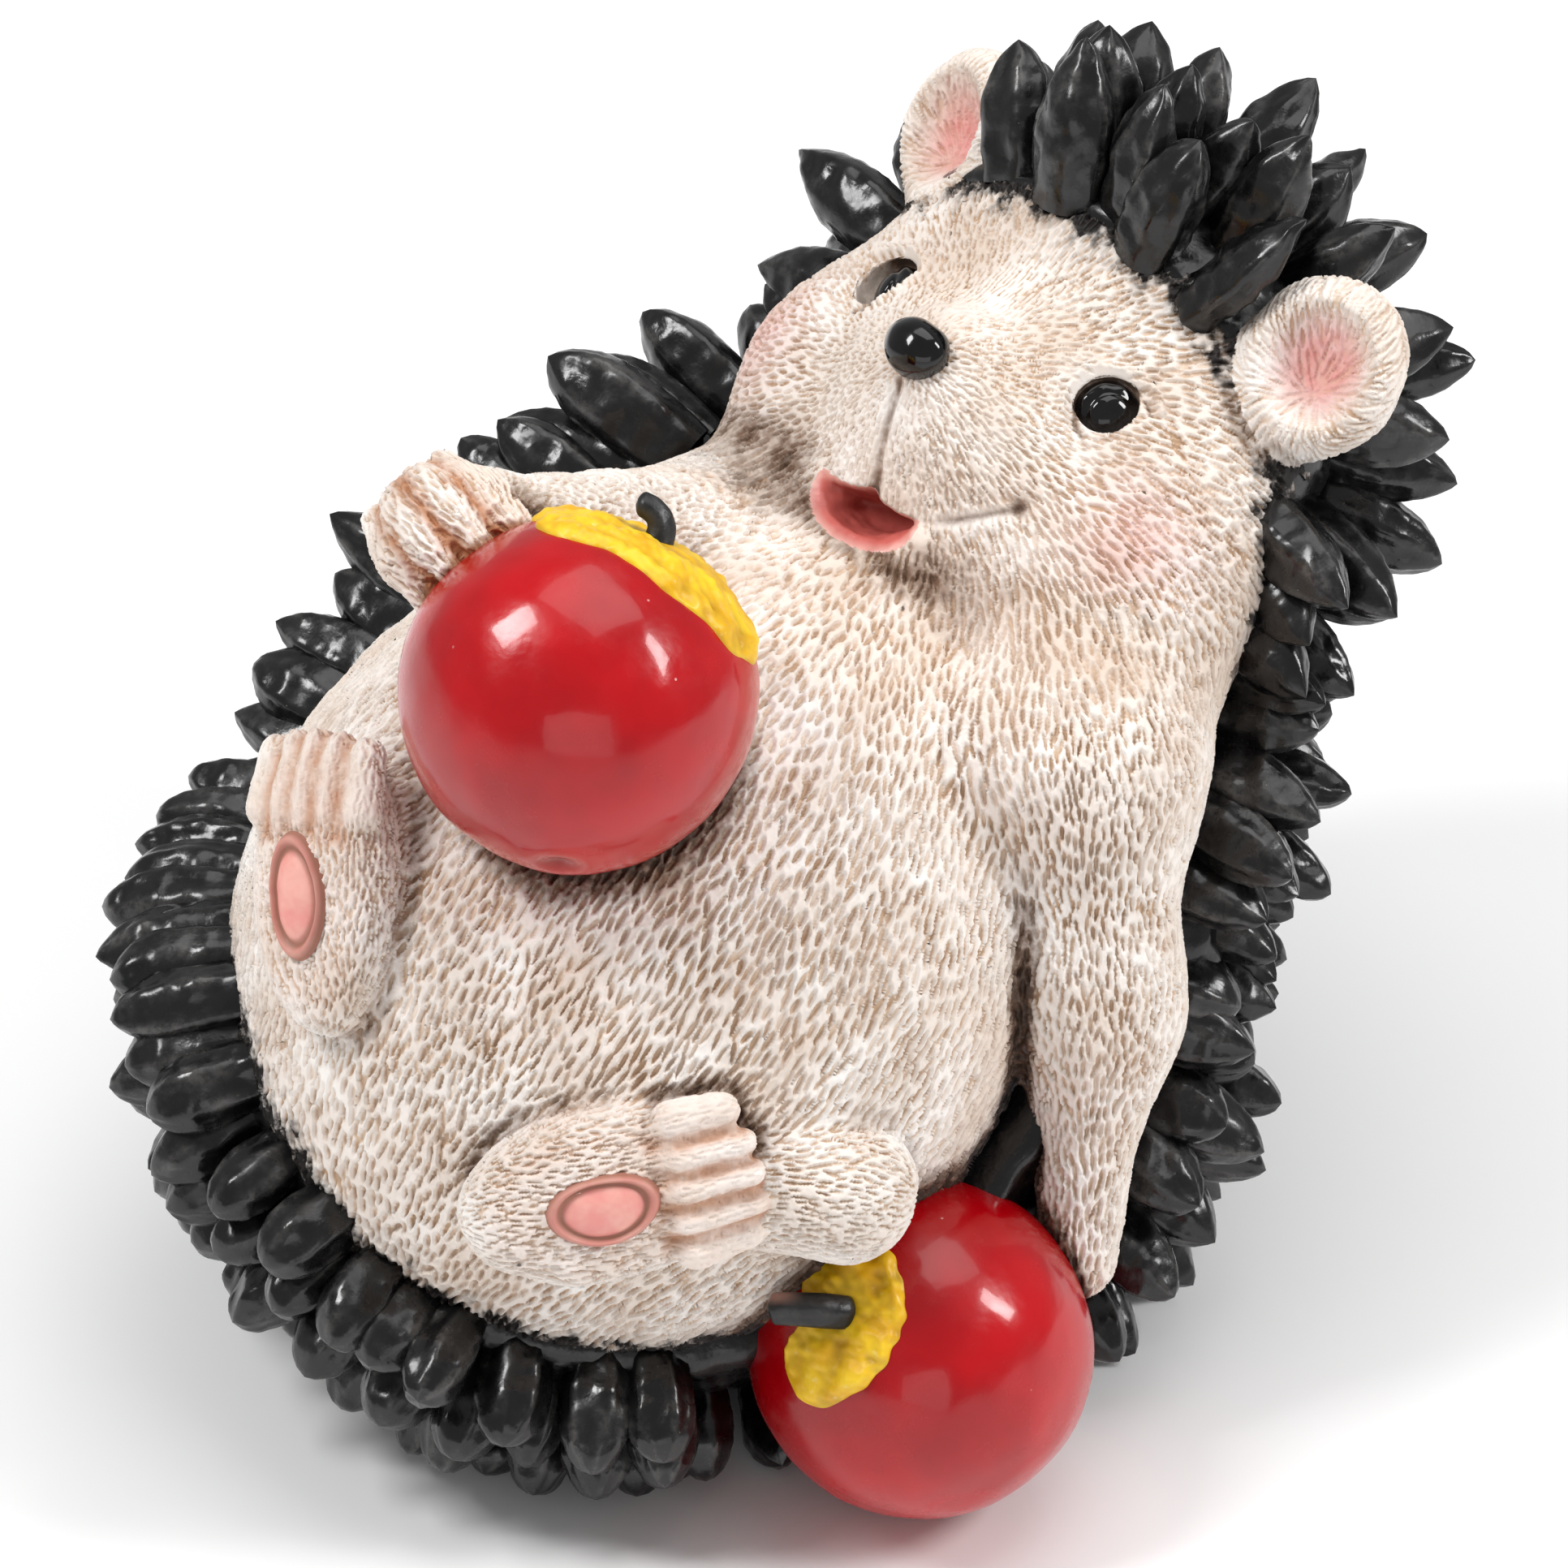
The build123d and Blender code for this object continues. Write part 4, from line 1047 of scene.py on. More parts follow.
    # painted shade under the chin on the raised arm's side, and along the lowered arm
    shade_and_wash += (0.28 + 0.08 * Ripple(26, 4.0)(P)) * np.exp(-((D[:, 0] - D[:, 1]) / 3.6) ** 2) * step(-bx, -14, -2) * (part < 5)
    shade_and_wash += 0.62 * np.exp(-((D[:, 0] - D[:, 6]) / 1.3) ** 2) * step(-bl, -22, -12) * ((part == 0) | (part == 6))
    # brown along the coat's edge: brown paint together with painted shade
    shade_and_wash += (0.24 + 0.12 * Ripple(25, 4.0)(P)) * np.where(part == 1, 0.6 * step(x + 30, 12, 22), 1.0) * step(-sm, -7.0, -1.5) * (part < 2)
    dn = np.linalg.norm(P - NOSE.astype(f32), axis=1)
    # painted shade round the nose's base
    shade_and_wash += 0.35 * np.exp(-((dn - 3.0) / 0.9) ** 2)
    # painted shade in the grooves round the eyes
    shade_and_wash += 0.75 * lids
    edge = Ripple(21, 4.0)(P) * 0.9 + Ripple(22, 1.2)(P) * 0.4
    ink = step(-(sm + edge), -2.8, 0.4) * (part < 2)
    ink = ink + 0.5 * step(-(sm + edge), -6.0, -1.0) * (part < 2) * np.clip(0.6 + Ripple(23, 2.4)(P), 0, 1)
    ink = np.clip(ink, 0, 1)
    pink = np.zeros(len(P), f32)
    for s in (-1, 1):
        r = np.linalg.norm((P - h(s * 21.5, 5.0, -5.5).astype(f32)), axis=1)
        pink += 0.46 * np.exp(-(r / 4.9) ** 2) * (part == 1)
    for k, s in ((2, 0), (3, 1)):
        qe = (P - EARS[s].astype(f32)) @ EAR_B[s].T.astype(f32)
        rr = np.hypot(qe[:, 0] / 5.4, (qe[:, 2] + 0.3) / 5.8)
        pink += np.where(part == k, 0.72 * step(-rr, -1.0, -0.25) * (qe[:, 1] > -1.6), 0)
    skin = np.zeros(len(P), f32)
    for k, i in ((9, 1), (10, 0)):
        F = FOOT[i]
        qf = (P - F["c"].astype(f32)) @ F["B"].T.astype(f32)
        skin += np.where(part == k, 0.22 * step(qf[:, 2], 2.2, 4.0), 0)
    # orange paint with painted shade in the furrows between fingers and toes, and in the hollows by the held apple
    orange_paint_and_shade = np.zeros(len(P), f32)
    for k in (5, 9, 10):
        orange_paint_and_shade += np.where(part == k, np.clip((1 - a1) * (0.8 if k == 5 else 0.15) + furrow * (1.0 if k == 5 else 0.8), 0, 1), 0)
    white = np.clip(0.5 + Ripple(31, 7.0)(P) * 0.9, 0, 1)
    mz = np.exp(-((x / 11) ** 2 + ((u + 6) / 7) ** 2)) * (part == 1)
    white = np.clip(white * 0.6 + mz * 0.9, 0, 1)
    lx = (P - CB.astype(f32)) @ LX.astype(f32)
    mx = (P - CB.astype(f32)) @ MX.astype(f32)
    tint = np.where(part == 1, 0.62 - 0.55 * mz, 0.30) + 0.5 * step(lx, 22, 40) * (part == 0) + 0.25 * step(-mx, -14, 2) * (part == 0)
    tint = np.clip(tint + Ripple(32, 12.0)(P) * 0.3, 0, 1)
    attrs = {"cav": np.clip(rec, 0, 1), "shade_and_wash": np.clip(shade_and_wash, 0, 1.2), "ink": ink, "pink": np.clip(pink, 0, 1),
             "white": white, "tint": tint, "skin": skin, "orange_paint_and_shade": orange_paint_and_shade,
             "deep": np.clip(0.15 - mouth / 1.0, 0, 1) * in_mouth}
    VN = vertex_normals(P2, Q)
    # split by part; lips and lining make the mouth
    lips = (mouth < 0.1) | (lip < 1.2)
    pid = part.copy()
    pid[lips] = 20
    fp = np.sort(pid[Q], axis=1)[:, 1]
    for k, nm in enumerate(PARTS + ["mouth"]):
        kk = k if k < 11 else 20
        sel = Q[fp == kk]
        if not len(sel):
            continue
        used = np.unique(sel)
        remap = np.full(len(P2), -1)
        remap[used] = np.arange(len(used))
        piece("fur_" + nm if kk != 20 else "mouth_lining", P2[used], remap[sel], {a: v[used] for a, v in attrs.items()},
              MAT["mouth"] if kk == 20 else MAT["fur"],
              (nm,), VN[used])
    return P, Nr


build_fur()


# ------------------------------------------------------------------------ beads
def ball_mesh(nu, nv):
    """Closed ball of quads: unit directions and faces, its poles along z."""
    th = np.linspace(0, math.pi, nv + 1)[1:-1]
    ph = np.linspace(0, 2 * math.pi, nu, endpoint=False)
    P = [(0, 0, 1.0)]
    for t in th:
        P += [(math.sin(t) * math.cos(p), math.sin(t) * math.sin(p), math.cos(t)) for p in ph]
    P.append((0, 0, -1.0))
    Qd, T = [], []
    for j in range(nv - 2):
        for i in range(nu):
            a, b = 1 + j * nu + i, 1 + j * nu + (i + 1) % nu
            Qd.append((a, a + nu, b + nu, b))
    last = len(P) - 1
    for i in range(nu):
        T.append((0, 1 + i, 1 + (i + 1) % nu, 1 + (i + 1) % nu))
        a = 1 + (nv - 2) * nu
        T.append((last, a + (i + 1) % nu, a + i, a + i))
    return np.array(P), Qd, T


def mixed_piece(name, P, faces, attrs, mat, nodes=()):
    me = bpy.data.meshes.new(name)
    me.from_pydata([tuple(p * 0.001) for p in np.asarray(P, float)], [], [tuple(dict.fromkeys(f)) for f in faces])
    me.update()
    for k, v in attrs.items():
        at = me.attributes.new(k, "FLOAT", "POINT")
        at.data.foreach_set("value", np.asarray(v, f32))
    me.polygons.foreach_set("use_smooth", np.ones(len(me.polygons), bool))
    o = bpy.data.objects.new(name, me)
    bpy.context.scene.collection.objects.link(o)
    o.data.materials.append(mat)
    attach(o, BODY)
    if nodes:
        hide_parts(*nodes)
    return o


def build_beads():
    U, Qd, T = ball_mesh(96, 64)
    # nose: a rounded button, a little wider at its top
    B = np.stack([LH, UH, FW])
    r = np.array([3.15, 2.65, 2.5])
    P = U * r
    P[:, 0] *= 1 + 0.07 * U[:, 1]
    P = NOSE + P @ B + (U * (Ripple(41, 3.0)(U.astype(f32) * 3) * 0.06)[:, None]) @ B
    mixed_piece("nose_button", P, Qd + T, {"shade": np.zeros(len(P))}, MAT["bead"], ("nose",))
    for s, c, nm in ((-1, EYES[0], "eye_right"), (1, EYES[1], "eye_left")):
        n = unit(c - h(0, -8, 0))
        B = basis(n, np.cross(UH, n))
        rad = np.hypot(U[:, 0], U[:, 1])
        ang = np.arctan2(U[:, 1], U[:, 0])
        front = U[:, 2] > 0
        # a crescent groove beside the pupil and a faint brim
        groove = np.exp(-((rad - 0.70) / 0.07) ** 2) * (0.35 + 0.65 * step(np.cos(ang + 0.9), -0.4, 0.45)) * front
        brim = np.exp(-((rad - 0.88) / 0.07) ** 2) * (1 + 0.35 * np.cos(9 * ang)) * front
        rr = 1 - 0.13 * groove + 0.05 * brim
        P = U * np.array([3.0, 3.0, 2.5]) * rr[:, None]
        P = c + n * 0.15 + P @ B
        mixed_piece("bead_" + nm, P, Qd + T, {"shade": groove}, MAT["bead"], (nm,))


build_beads()


# ---------------------------------------------------------------------- soles
def build_pads():
    for i, nm in ((0, "sole_pad_right"), (1, "sole_pad_left")):
        F = FOOT[i]
        fn = d_foot_r if i == 0 else d_foot_l
        nr, na = 30, 72
        c0 = F["c"] - F["a"] * 0.6
        A, W = (5.3, 3.0) if i == 0 else (4.8, 3.4)
        rows = []
        hs = []
        for j in range(nr + 1):
            t = j / nr
            for k in range(na):
                a = 2 * math.pi * k / na
                wob = 1 + 0.05 * math.sin(2 * a + 1 + i) + 0.03 * math.sin(3 * a)
                rows.append(c0 + F["B"][0] * (A * t * math.cos(a) * wob) + F["B"][1] * (W * t * math.sin(a) * wob) + F["n"] * 7.0)
                hs.append(t)
        P = np.array(rows).astype(f32)
        t = np.array(hs, f32)
        for _ in range(14):
            P = P - F["n"].astype(f32) * fn(P)[:, None]
        dome = 0.55 * np.clip(1 - (t / 0.70) ** 3, 0, 1) + 0.42 * np.exp(-((t - 0.87) / 0.065) ** 2) - 0.12 * np.exp(-((t - 0.72) / 0.05) ** 2)
        dome = dome + (0.36, 0.26)[i] - 0.5 * step(t, 0.95, 1.0)
        P = P + F["n"].astype(f32) * (dome + Ripple(51 + i, 2.2)(P) * 0.05)[:, None]
        Q = []
        for j in range(nr):
            for k in range(na):
                a, b = j * na + k, j * na + (k + 1) % na
                Q.append((a, a + na, b + na, b))
        rim = np.clip(np.exp(-((t - 0.73) / 0.06) ** 2) + 0.42 * step(t, 0.70, 0.80) + 0.6 * np.exp(-((t - 0.98) / 0.05) ** 2), 0, 1)
        # the middle is one point
        P[:na] = P[:na].mean(0)
        piece("sole_" + nm[5:], P, np.array(Q), {"rim": rim}, MAT["pad"], (nm,))


build_pads()


# ---------------------------------------------------------------------- apples
def cam_dir(x, y, z):
    return unit(RIGHT * x + UP * y + BACK * z)


STEM_DIR = [cam_dir(0.45, 0.86, 0.10), cam_dir(-0.47, 0.25, 0.84)]
BASE_DIR = [cam_dir(-0.10, -0.95, 0.28), cam_dir(0.47, -0.25, -0.84)]


def build_apple(i, nm):
    c = (APPLE_1, APPLE_2)[i]
    U, Qd, T = ball_mesh(300, 200)
    B = basis(STEM_DIR[i])
    D = (U @ B)
    a1 = np.arccos(np.clip(D @ STEM_DIR[i], -1, 1))
    a2 = np.arccos(np.clip(D @ BASE_DIR[i], -1, 1))
    r = R_APPLE * (1 - 0.055 * np.exp(-(a1 / 0.22) ** 2) - 0.045 * np.exp(-(a2 / 0.11) ** 2) + 0.006 * np.exp(-((a2 - 0.2) / 0.1) ** 2))
    q = (D * R_APPLE).astype(f32)
    r = r + Ripple(60 + i, 14.0)(q) * 0.16 + Ripple(62 + i, 5.0)(q) * 0.035
    P = c + D * r[:, None]
    P[:, 2] = np.maximum(P[:, 2], 0.0)
    shade = np.exp(-(a2 / 0.12) ** 2)
    mixed_piece(nm, P, Qd + T, {"shade": shade}, MAT["apple"], ("apple_held" if i == 0 else "apple_resting",))
    return c


def torn(theta, base, seed):
    g = np.random.default_rng(seed)
    out = np.zeros_like(theta)
    for k in range(1, 22):
        out += g.normal() * np.sin(k * theta + g.uniform(0, 6.28)) / (k ** 1.10)
    return base(theta) * (1 + 0.095 * out)


def build_leaf(i, nm, node):
    """Torn leaf scrap lying on an apple round its stem."""
    c = (APPLE_1, APPLE_2)[i]
    n = STEM_DIR[i]
    # x of the scrap's own plane points to the right of the view
    B = basis(n, RIGHT if i == 1 else np.cross(BACK, n))
    nr, na = 46, 300
    th = np.linspace(0, 2 * math.pi, na, endpoint=False)
    if i == 1:
        outline = torn(th, lambda t: 0.43 + 0.10 * np.cos(2 * (t - 1.35)) + 0.03 * np.cos(3 * t + 0.5), 5)
        outline = np.clip(outline + 0.09 * np.exp(-((np.angle(np.exp(1j * (th - 3.7)))) / 0.5) ** 2) - 0.04 * np.exp(-((np.angle(np.exp(1j * (th - 3.25)))) / 0.34) ** 2), 0.16, 0.62)
    else:
        outline = torn(th, lambda t: 0.71 + 0.06 * np.cos(2 * t + 0.4), 9)
    t = np.linspace(0, 1, nr + 1)[:, None]
    ang = outline[None] * t
    dirs = (np.cos(ang)[..., None] * n + np.sin(ang)[..., None] * (np.cos(th)[None, :, None] * B[0] + np.sin(th)[None, :, None] * B[1]))
    D = dirs.reshape(-1, 3)
    tt = np.repeat(t[:, 0], na)
    q = (D * R_APPLE).astype(f32)
    wr = Ripple(70 + i, 3.4)(q) * 0.30 + Ripple(72 + i, 1.3)(q) * 0.13
    a1 = np.arccos(np.clip(D @ n, -1, 1))
    base = R_APPLE * (1 - 0.055 * np.exp(-(a1 / 0.22) ** 2)) + Ripple(60 + i, 14.0)(q) * 0.16
    hgt = (0.40, 0.55)[i] * (1 - np.clip((tt - 0.80) / 0.20, 0, 1) ** 2.2) + wr * (0.35 + 0.65 * step(tt, 0.05, 0.5)) + 0.22 * np.exp(-((tt - 0.86) / 0.08) ** 2)
    hgt = np.where(tt > 0.999, -0.3, np.maximum(hgt, 0.16))
    P = c + D * (base + hgt)[:, None]
    P[:na] = P[:na].mean(0)
    Q = []
    for j in range(nr):
        for k in range(na):
            a, b = j * na + k, j * na + (k + 1) % na
            Q.append((a, a + na, b + na, b))
    shade = np.clip(np.exp(-(a1 / 0.09) ** 2) * 0.8 + np.clip(-wr * 1.4, 0, 0.5) + step(tt, 0.975, 1.0) * 0.6, 0, 1)
    piece(nm, P, np.array(Q), {"shade": shade}, MAT["leaf"], (node,))


def tube(points, radii, nseg=64, nround=28):
    """Tapered round bar through the points, with rounded ends."""
    pts = np.asarray(points, float)
    s = np.linspace(0, 1, nseg)
    k = (len(pts) - 1)
    out = np.zeros((nseg, 3))
    rr = np.zeros(nseg)
    for i, v in enumerate(s):
        # Bezier through de Casteljau
        c = pts.copy()
        for _ in range(k):
            c = c[:-1] * (1 - v) + c[1:] * v
        out[i] = c[0]
        rr[i] = np.interp(v, np.linspace(0, 1, len(radii)), radii)
    tg = np.gradient(out, axis=0)
    tg /= np.linalg.norm(tg, axis=1, keepdims=True)
    L = np.linalg.norm(np.diff(out, axis=0), axis=1).sum()
    end = np.sqrt(np.clip(1 - np.clip(1 - (1 - s) * L / (rr * 0.55), 0, 1) ** 2, 0.0, 1))
    start = np.sqrt(np.clip(1 - np.clip(1 - s * L / (rr * 0.55), 0, 1) ** 2, 0.0, 1))
    rr = rr * np.maximum(np.minimum(end, start), 0.02)
    x = np.cross(tg[0], [0.3, 0.2, 0.9])
    x /= np.linalg.norm(x)
    P, S = [], []
    for i in range(nseg):
        x = x - tg[i] * (x @ tg[i])
        x /= np.linalg.norm(x)
        y = np.cross(tg[i], x)
        for j in range(nround):
            a = 2 * math.pi * j / nround
            w = rr[i] * (1 + 0.06 * math.sin(3 * a + 2 * i / nseg) + 0.04 * math.sin(5 * a + 1))
            P.append(out[i] + (x * math.cos(a) + y * math.sin(a)) * w)
            S.append(s[i])
    Q = []
    for i in range(nseg - 1):
        for j in range(nround):
            a, b = i * nround + j, i * nround + (j + 1) % nround
            Q.append((a, b, b + nround, a + nround))
    faces = Q + [tuple(range(nround))[::-1], tuple(range((nseg - 1) * nround, nseg * nround))]
    return np.array(P), faces, np.array(S)


def build_stems():
    c, n = APPLE_1, STEM_DIR[0]
    b = c + n * 13.6
    pts = [b, b + n * 2.0 + RIGHT * 0.2, b + n * 4.0 - RIGHT * 1.0, b + n * 4.4 - RIGHT * 3.4]
    P, F, S = tube(pts, [1.35, 1.2, 1.1, 1.0])
    P += (Ripple(81, 1.5)(P.astype(f32)) * 0.07)[:, None] * n
    mixed_piece("stem_held_bar", P, F, {"worn": S * 0}, MAT["stem"], ("stem_held",))
    c, n = APPLE_2, STEM_DIR[1]
    b = c + n * 14.4
    pts = [b + RIGHT * 0.8, b + n * 1.6 - RIGHT * 0.8, b + n * 1.4 - RIGHT * 3.8 + UP * 0.2, b + n * 0.4 - RIGHT * 6.1 + UP * 0.3]
    P, F, S = tube(pts, [1.4, 1.5, 1.45, 1.4])
    P += (Ripple(82, 1.5)(P.astype(f32)) * 0.08)[:, None] * n
    q = (P - c) @ UP
    worn = step(q, 4.3, 5.2) * step(S, 0.55, 0.85)
    mixed_piece("stem_resting_bar", P, F, {"worn": worn}, MAT["stem"], ("stem_resting",))


build_apple(0, "apple_held_ball")
build_apple(1, "apple_resting_ball")
build_leaf(0, "leaf_held_scrap", "leaf_held")
build_leaf(1, "leaf_resting_scrap", "leaf_resting")
build_stems()


# ------------------------------------------------------------- coat and quills
def build_coat():
    P, Q = surface_nets(d_coat, (-52, -50, -2), (54, 84, 112), 0.8)
    g = in_chunks(lambda q: gradient(d_shell, q), P)
    Nr = g / (np.linalg.norm(g, axis=1, keepdims=True) + 1e-9)
    P2 = P + Nr * (Ripple(90, 5.0)(P) * 0.25)[:, None]
    P2[:, 2] = np.maximum(P2[:, 2], 0.0)
    # painted shade on the coat skin under the quills
    piece("coat_skin", P2, Q, {"ridge": np.zeros(len(P)), "root": np.full(len(P), 0.6)}, MAT["quill"], ("coat_shell",))
    return P, Nr


def build_quills(P, Nr):
    """Blunt leaf-shaped quills: the front rows lie outwards beside the fur, the back rows stand up."""
    sh = d_shell(P)
    sm = seam(P)
    ok = (np.abs(sh) < 0.6) & (sm < -0.6) & (P[:, 2] > 1.6)
    C, Cn, Cs = P[ok], Nr[ok], sm[ok]
    m = (np.minimum(d_ear_l(C), d_ear_r(C)) > 0.9) & (d_arm_l(C) > 0.6) & (d_apples(C) > 1.0)
    C, Cn, Cs = C[m], Cn[m], Cs[m]
    q = C - CB.astype(f32)
    cl, cx_ = q @ LX.astype(f32), q @ XB.astype(f32)
    bulb = step(-cl, 25, 32) * step(cx_, -20, -11)
    crown = step(cl, 44, 58)
    first = Cs > -2.8
    g = np.random.default_rng(4)
    prio = np.where(first, 0, np.where(Cs > -8.0, 1, 2)) + g.uniform(0, 0.9, len(C))
    gap = np.where(first, 3.9, 4.5) + 0.35 * crown + 0.2 * bulb + np.where(Cs < -14, 0.6, 0.0)
    sites, sel = [], np.zeros((0, 3))
    for i in np.argsort(prio):
        if len(sel) and (((sel - C[i]) ** 2).sum(1).min() < gap[i] ** 2):
            continue
        sites.append(i)
        sel = np.vstack([sel, C[i]])
    groups = {k: [] for k in ("quills_crown", "quills_rump", "quills_left_flank", "quills_right_flank", "quills_upper_back", "quills_lower_back")}
    nu, nv = 30, 34
    u = np.linspace(0, 2 * math.pi, nu, endpoint=False)
    v = np.linspace(0, 1, nv)
    skipped = 0
    for i in sites:
        p, n = C[i].astype(float), Cn[i].astype(float)
        bb, wc = float(bulb[i]), float(crown[i])
        l, xx = float(cl[i]), float(cx_[i])
        mm = float((p - CB) @ MX)
        qh = p - H
        f_, u_ = qh @ FW, qh @ UH
        row = float(step(-Cs[i], 1.5, 11.0))
        side = MX * (1 - wc) + FW * wc
        side = unit(side)
        t = n - side * (n @ side)
        if np.linalg.norm(t) < 0.15:
            t = n
        t = unit(t)
        L = (13.4 - 1.0 * wc) * g.uniform(0.86, 1.12) * (1 - 0.10 * row)
        W = 3.15 * g.uniform(0.90, 1.12) + 0.15 * wc
        low = float(step(np.array(-l), -14, 2)) * float(step(np.array(-xx), 4, 16))
        L *= 1 - 0.25 * low
        L = L * (1 - bb) + 7.6 * g.uniform(0.88, 1.15) * bb
        W = W * (1 - bb) + 3.05 * g.uniform(0.92, 1.08) * bb
        Tk = W * g.uniform(0.66, 0.82) * (1 - bb) + W * g.uniform(0.86, 0.98) * bb
        lean = row * (1 - bb) * 0.85 + bb * 0.75
        dr = t * (1 - lean) + n * lean - LX * 0.16 * (1 - wc) * (1 - bb) + side * 0.16 * (1 - row) * (1 - bb)
        dr = unit(dr + g.normal(0, 0.085, 3))
        # keep clear of the limbs, ears and apples, and of the floor
        good = False
        for k in range(7):
            for _ in range(4):
                tip = p + dr * L
                if tip[2] < 0.8 + W * 0.5:
                    dr = unit(dr + np.array([0, 0, (0.8 + W * 0.5 - tip[2]) / L]))
            ax = np.array([p + dr * L * a for a in (0.25, 0.5, 0.75, 1.0)]).astype(f32)
            lim = np.minimum.reduce([d_arm_l(ax), d_ear_l(ax), d_ear_r(ax), d_apples(ax), d_paw(ax), d_foot_r(ax)]
                                    + [cone(ax, EARS[s], EARS[s] + EAR_F[s] * 10 + BACK * 3, (6.2, 7.2)[s], (6.4, 7.8)[s]) for s in (0, 1)]
                                    + [cone(ax, APPLE_2, ARM_L[2], 14.5, 6.5), cone(ax, ARM_L[1], ARM_L[2] + BACK * 2, 8.0, 5.5)])
            need = np.array([0.75, 0.8, 0.6, 0.15]) * Tk
            if (lim > need).all():
                good = True
                break
            dr = unit(dr - side * 0.28 + n * 0.10)
            L *= 0.95
        if not good:
            skipped += 1
            continue
        # broad faces look along the coat's edge direction
        wd = np.cross(dr, side)
        if np.linalg.norm(wd) < 0.25:
            wd = np.cross(dr, LX)
        wd = unit(wd + g.normal(0, 0.22, 3))
        wd = unit(wd - dr * (wd @ dr))
        td = np.cross(dr, wd)
        if td @ side < 0:
            td, wd = -td, -wd
        bend = unit(side * -0.6 - LX * (1 - wc) + g.normal(0, 0.5, 3)) * L * g.uniform(0.0, 0.10)
        k0 = (g.uniform(0.38, 0.54) - 0.08 * wc) * (1 - bb) + 0.45 * bb
        ea = g.uniform(1.9, 2.5)
        eb = (g.uniform(0.60, 0.84) + 0.10 * wc) * (1 - bb) + 0.52 * bb
        base = 0.84 + 0.16 * np.sin(np.clip(v / k0, 0, 1) * math.pi / 2)
        prof = base * (1 - np.clip((v - k0) / (1 - k0), 0, 1) ** ea) ** eb
        prof[-1] = 0.0
        ph, ph2, ph3 = g.uniform(0, 6.28, 3)
        nf = g.integers(5, 8)
        # long flats with soft ridges between them, and a few shallow folds
        arg = nf * u[None] + ph + 0.7 * np.sin(2.2 * v[:, None] + ph2)
        fac = 0.075 * (1 - np.abs(np.sin(arg / 2))) * 2 - 0.055
        fac = fac + 0.035 * np.cos(2 * u[None] + ph3) + 0.022 * np.cos(3 * u[None] - ph2 + 3 * v[:, None])
        w = prof[:, None] * (1 + fac)
        cx, cy = np.cos(u), np.sin(u)
        X = w * (np.sign(cx) * np.abs(cx) ** 0.90)[None] * W
        Y = w * (np.sign(cy) * np.abs(cy) ** 0.90)[None] * Tk
        sgn = v ** 0.92 * (L + 1.8) - 1.8
        P3 = (p + dr * sgn[:, None, None] + wd * X[..., None] + td * Y[..., None]
              + bend * (v ** 2)[:, None, None]).reshape(-1, 3)
        q32 = P3.astype(f32)
        P3 = P3 + (Ripple(95, 3.0)(q32) * 0.22)[:, None] * td + (Ripple(96, 1.3)(q32) * 0.07)[:, None] * wd
        P3[:, 2] = np.maximum(P3[:, 2], 0.05)
        rd = np.clip(0.42 + 5.5 * fac + 0.18 * np.sin(v * math.pi)[:, None], 0, 1).reshape(-1)
        # painted shade towards each quill's root, where the quills crowd
        root = np.repeat(step(-v, -0.42, -0.05), nu)
        if wc > 0.5 and f_ > -30:
            key = "quills_crown"
        elif l < -14:
            key = "quills_rump"
        elif mm > -24 and xx > 0:
            key = "quills_left_flank"
        elif mm > -24:
            key = "quills_right_flank"
        elif l > 20:
            key = "quills_upper_back"
        else:
            key = "quills_lower_back"
        groups[key].append((P3, rd, root))
    print("quills", len(sites) - skipped, "skipped", skipped, flush=True)
    Q = []
    for j in range(nv - 1):
        for k in range(nu):
            a, b = j * nu + k, j * nu + (k + 1) % nu
            Q.append((a, b, b + nu, a + nu))
    Q = np.array(Q)
    for k, items in groups.items():
        if not items:
            continue
        n = nu * nv
        PP = np.concatenate([a[0] for a in items])
        QQ = np.concatenate([Q + n * j for j in range(len(items))])
        piece(k + "_leaves", PP, QQ, {"ridge": np.concatenate([a[1] for a in items]), "root": np.concatenate([a[2] for a in items])},
              MAT["quill"], (k,))


CP, CN = build_coat()
build_quills(CP, CN)


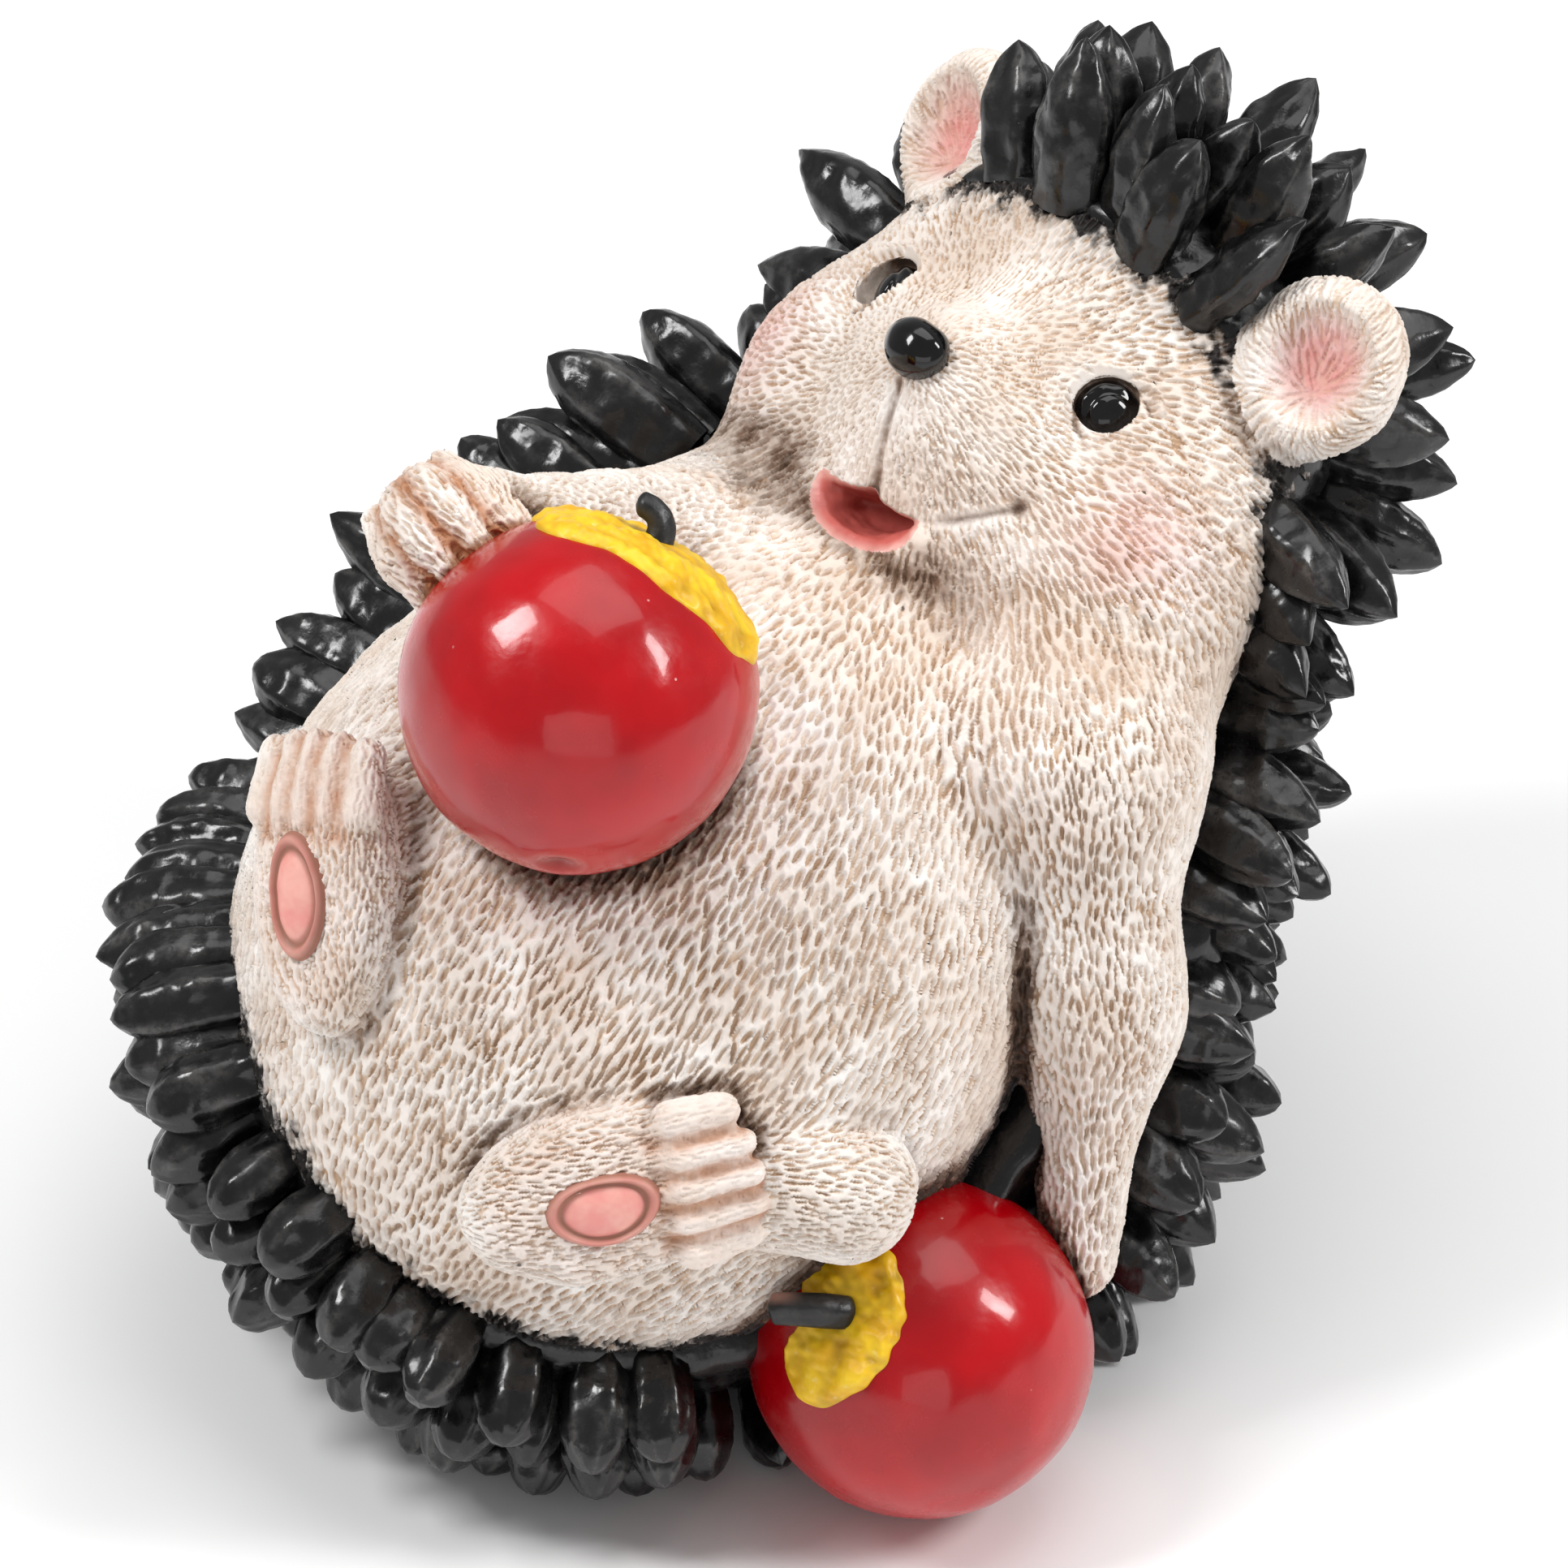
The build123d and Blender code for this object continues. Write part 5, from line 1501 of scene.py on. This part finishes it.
# --------------------------------------------------------------- floor and light
def floor():
    me = bpy.data.meshes.new("floor")
    s = 3.0
    me.from_pydata([(-s, -s, 0), (s, -s, 0), (s, s, 0), (-s, s, 0)], [], [(0, 1, 2, 3)])
    o = bpy.data.objects.new("floor", me)
    bpy.context.scene.collection.objects.link(o)
    m, nt, bs = tree("floor_paper")
    n = N(nt)
    c = n.mix(n.noise(30, 2), srgb(250, 250, 250), srgb(252, 252, 252))
    nt.links.new(c, bs.inputs["Base Color"])
    bs.inputs["Roughness"].default_value = 0.9
    bs.inputs["Specular IOR Level"].default_value = 0.1
    me.materials.append(m)
    o.location = (0, 0, -0.0004)


floor()


def lamp(name, direction, dist, size, power, color=(1, 1, 1), size_y=None):
    L = bpy.data.lights.new(name, "AREA")
    L.energy = power
    L.color = color
    L.size = size
    if size_y:
        L.shape = "RECTANGLE"
        L.size_y = size_y
    o = bpy.data.objects.new(name, L)
    d = unit(direction)
    tgt = np.array([2.0, 14.0, 45.0]) * 0.001
    o.location = Vector(tgt + d * dist)
    o.rotation_euler = Vector(d).to_track_quat("Z", "Y").to_euler()
    bpy.context.scene.collection.objects.link(o)
    return o


lamp("key_left", RIGHT * -0.62 + UP * 0.62 + BACK * 0.62, 0.75, 0.17, 2.9, size_y=0.26)
lamp("key_right", RIGHT * 0.78 + UP * 0.42 + BACK * 0.52, 0.75, 0.15, 2.5, size_y=0.26)
lamp("top", np.array([0.0, 0.2, 1.0]), 0.8, 0.6, 2.5)
lamp("low_front", BACK * 0.8 - UP * 0.5, 0.9, 0.5, 0.9)

w = bpy.data.worlds.new("studio")
bpy.context.scene.world = w
w.use_nodes = True
w.node_tree.nodes["Background"].inputs[0].default_value = (1, 1, 1, 1)
w.node_tree.nodes["Background"].inputs[1].default_value = 0.36

bpy.context.scene.view_settings.view_transform = "Standard"

cam = bpy.data.cameras.new("camera")
cam.sensor_fit = "HORIZONTAL"
cam.sensor_width = 36.0
cam.lens = 225.9
cam.clip_start = 0.05
co = bpy.data.objects.new("camera", cam)
co.matrix_world = Matrix(((RIGHT[0], UP[0], BACK[0], CAM[0] * 0.001),
                          (RIGHT[1], UP[1], BACK[1], CAM[1] * 0.001),
                          (RIGHT[2], UP[2], BACK[2], CAM[2] * 0.001), (0, 0, 0, 1)))
bpy.context.scene.collection.objects.link(co)
bpy.context.scene.camera = co

bpy.context.view_layer.update()
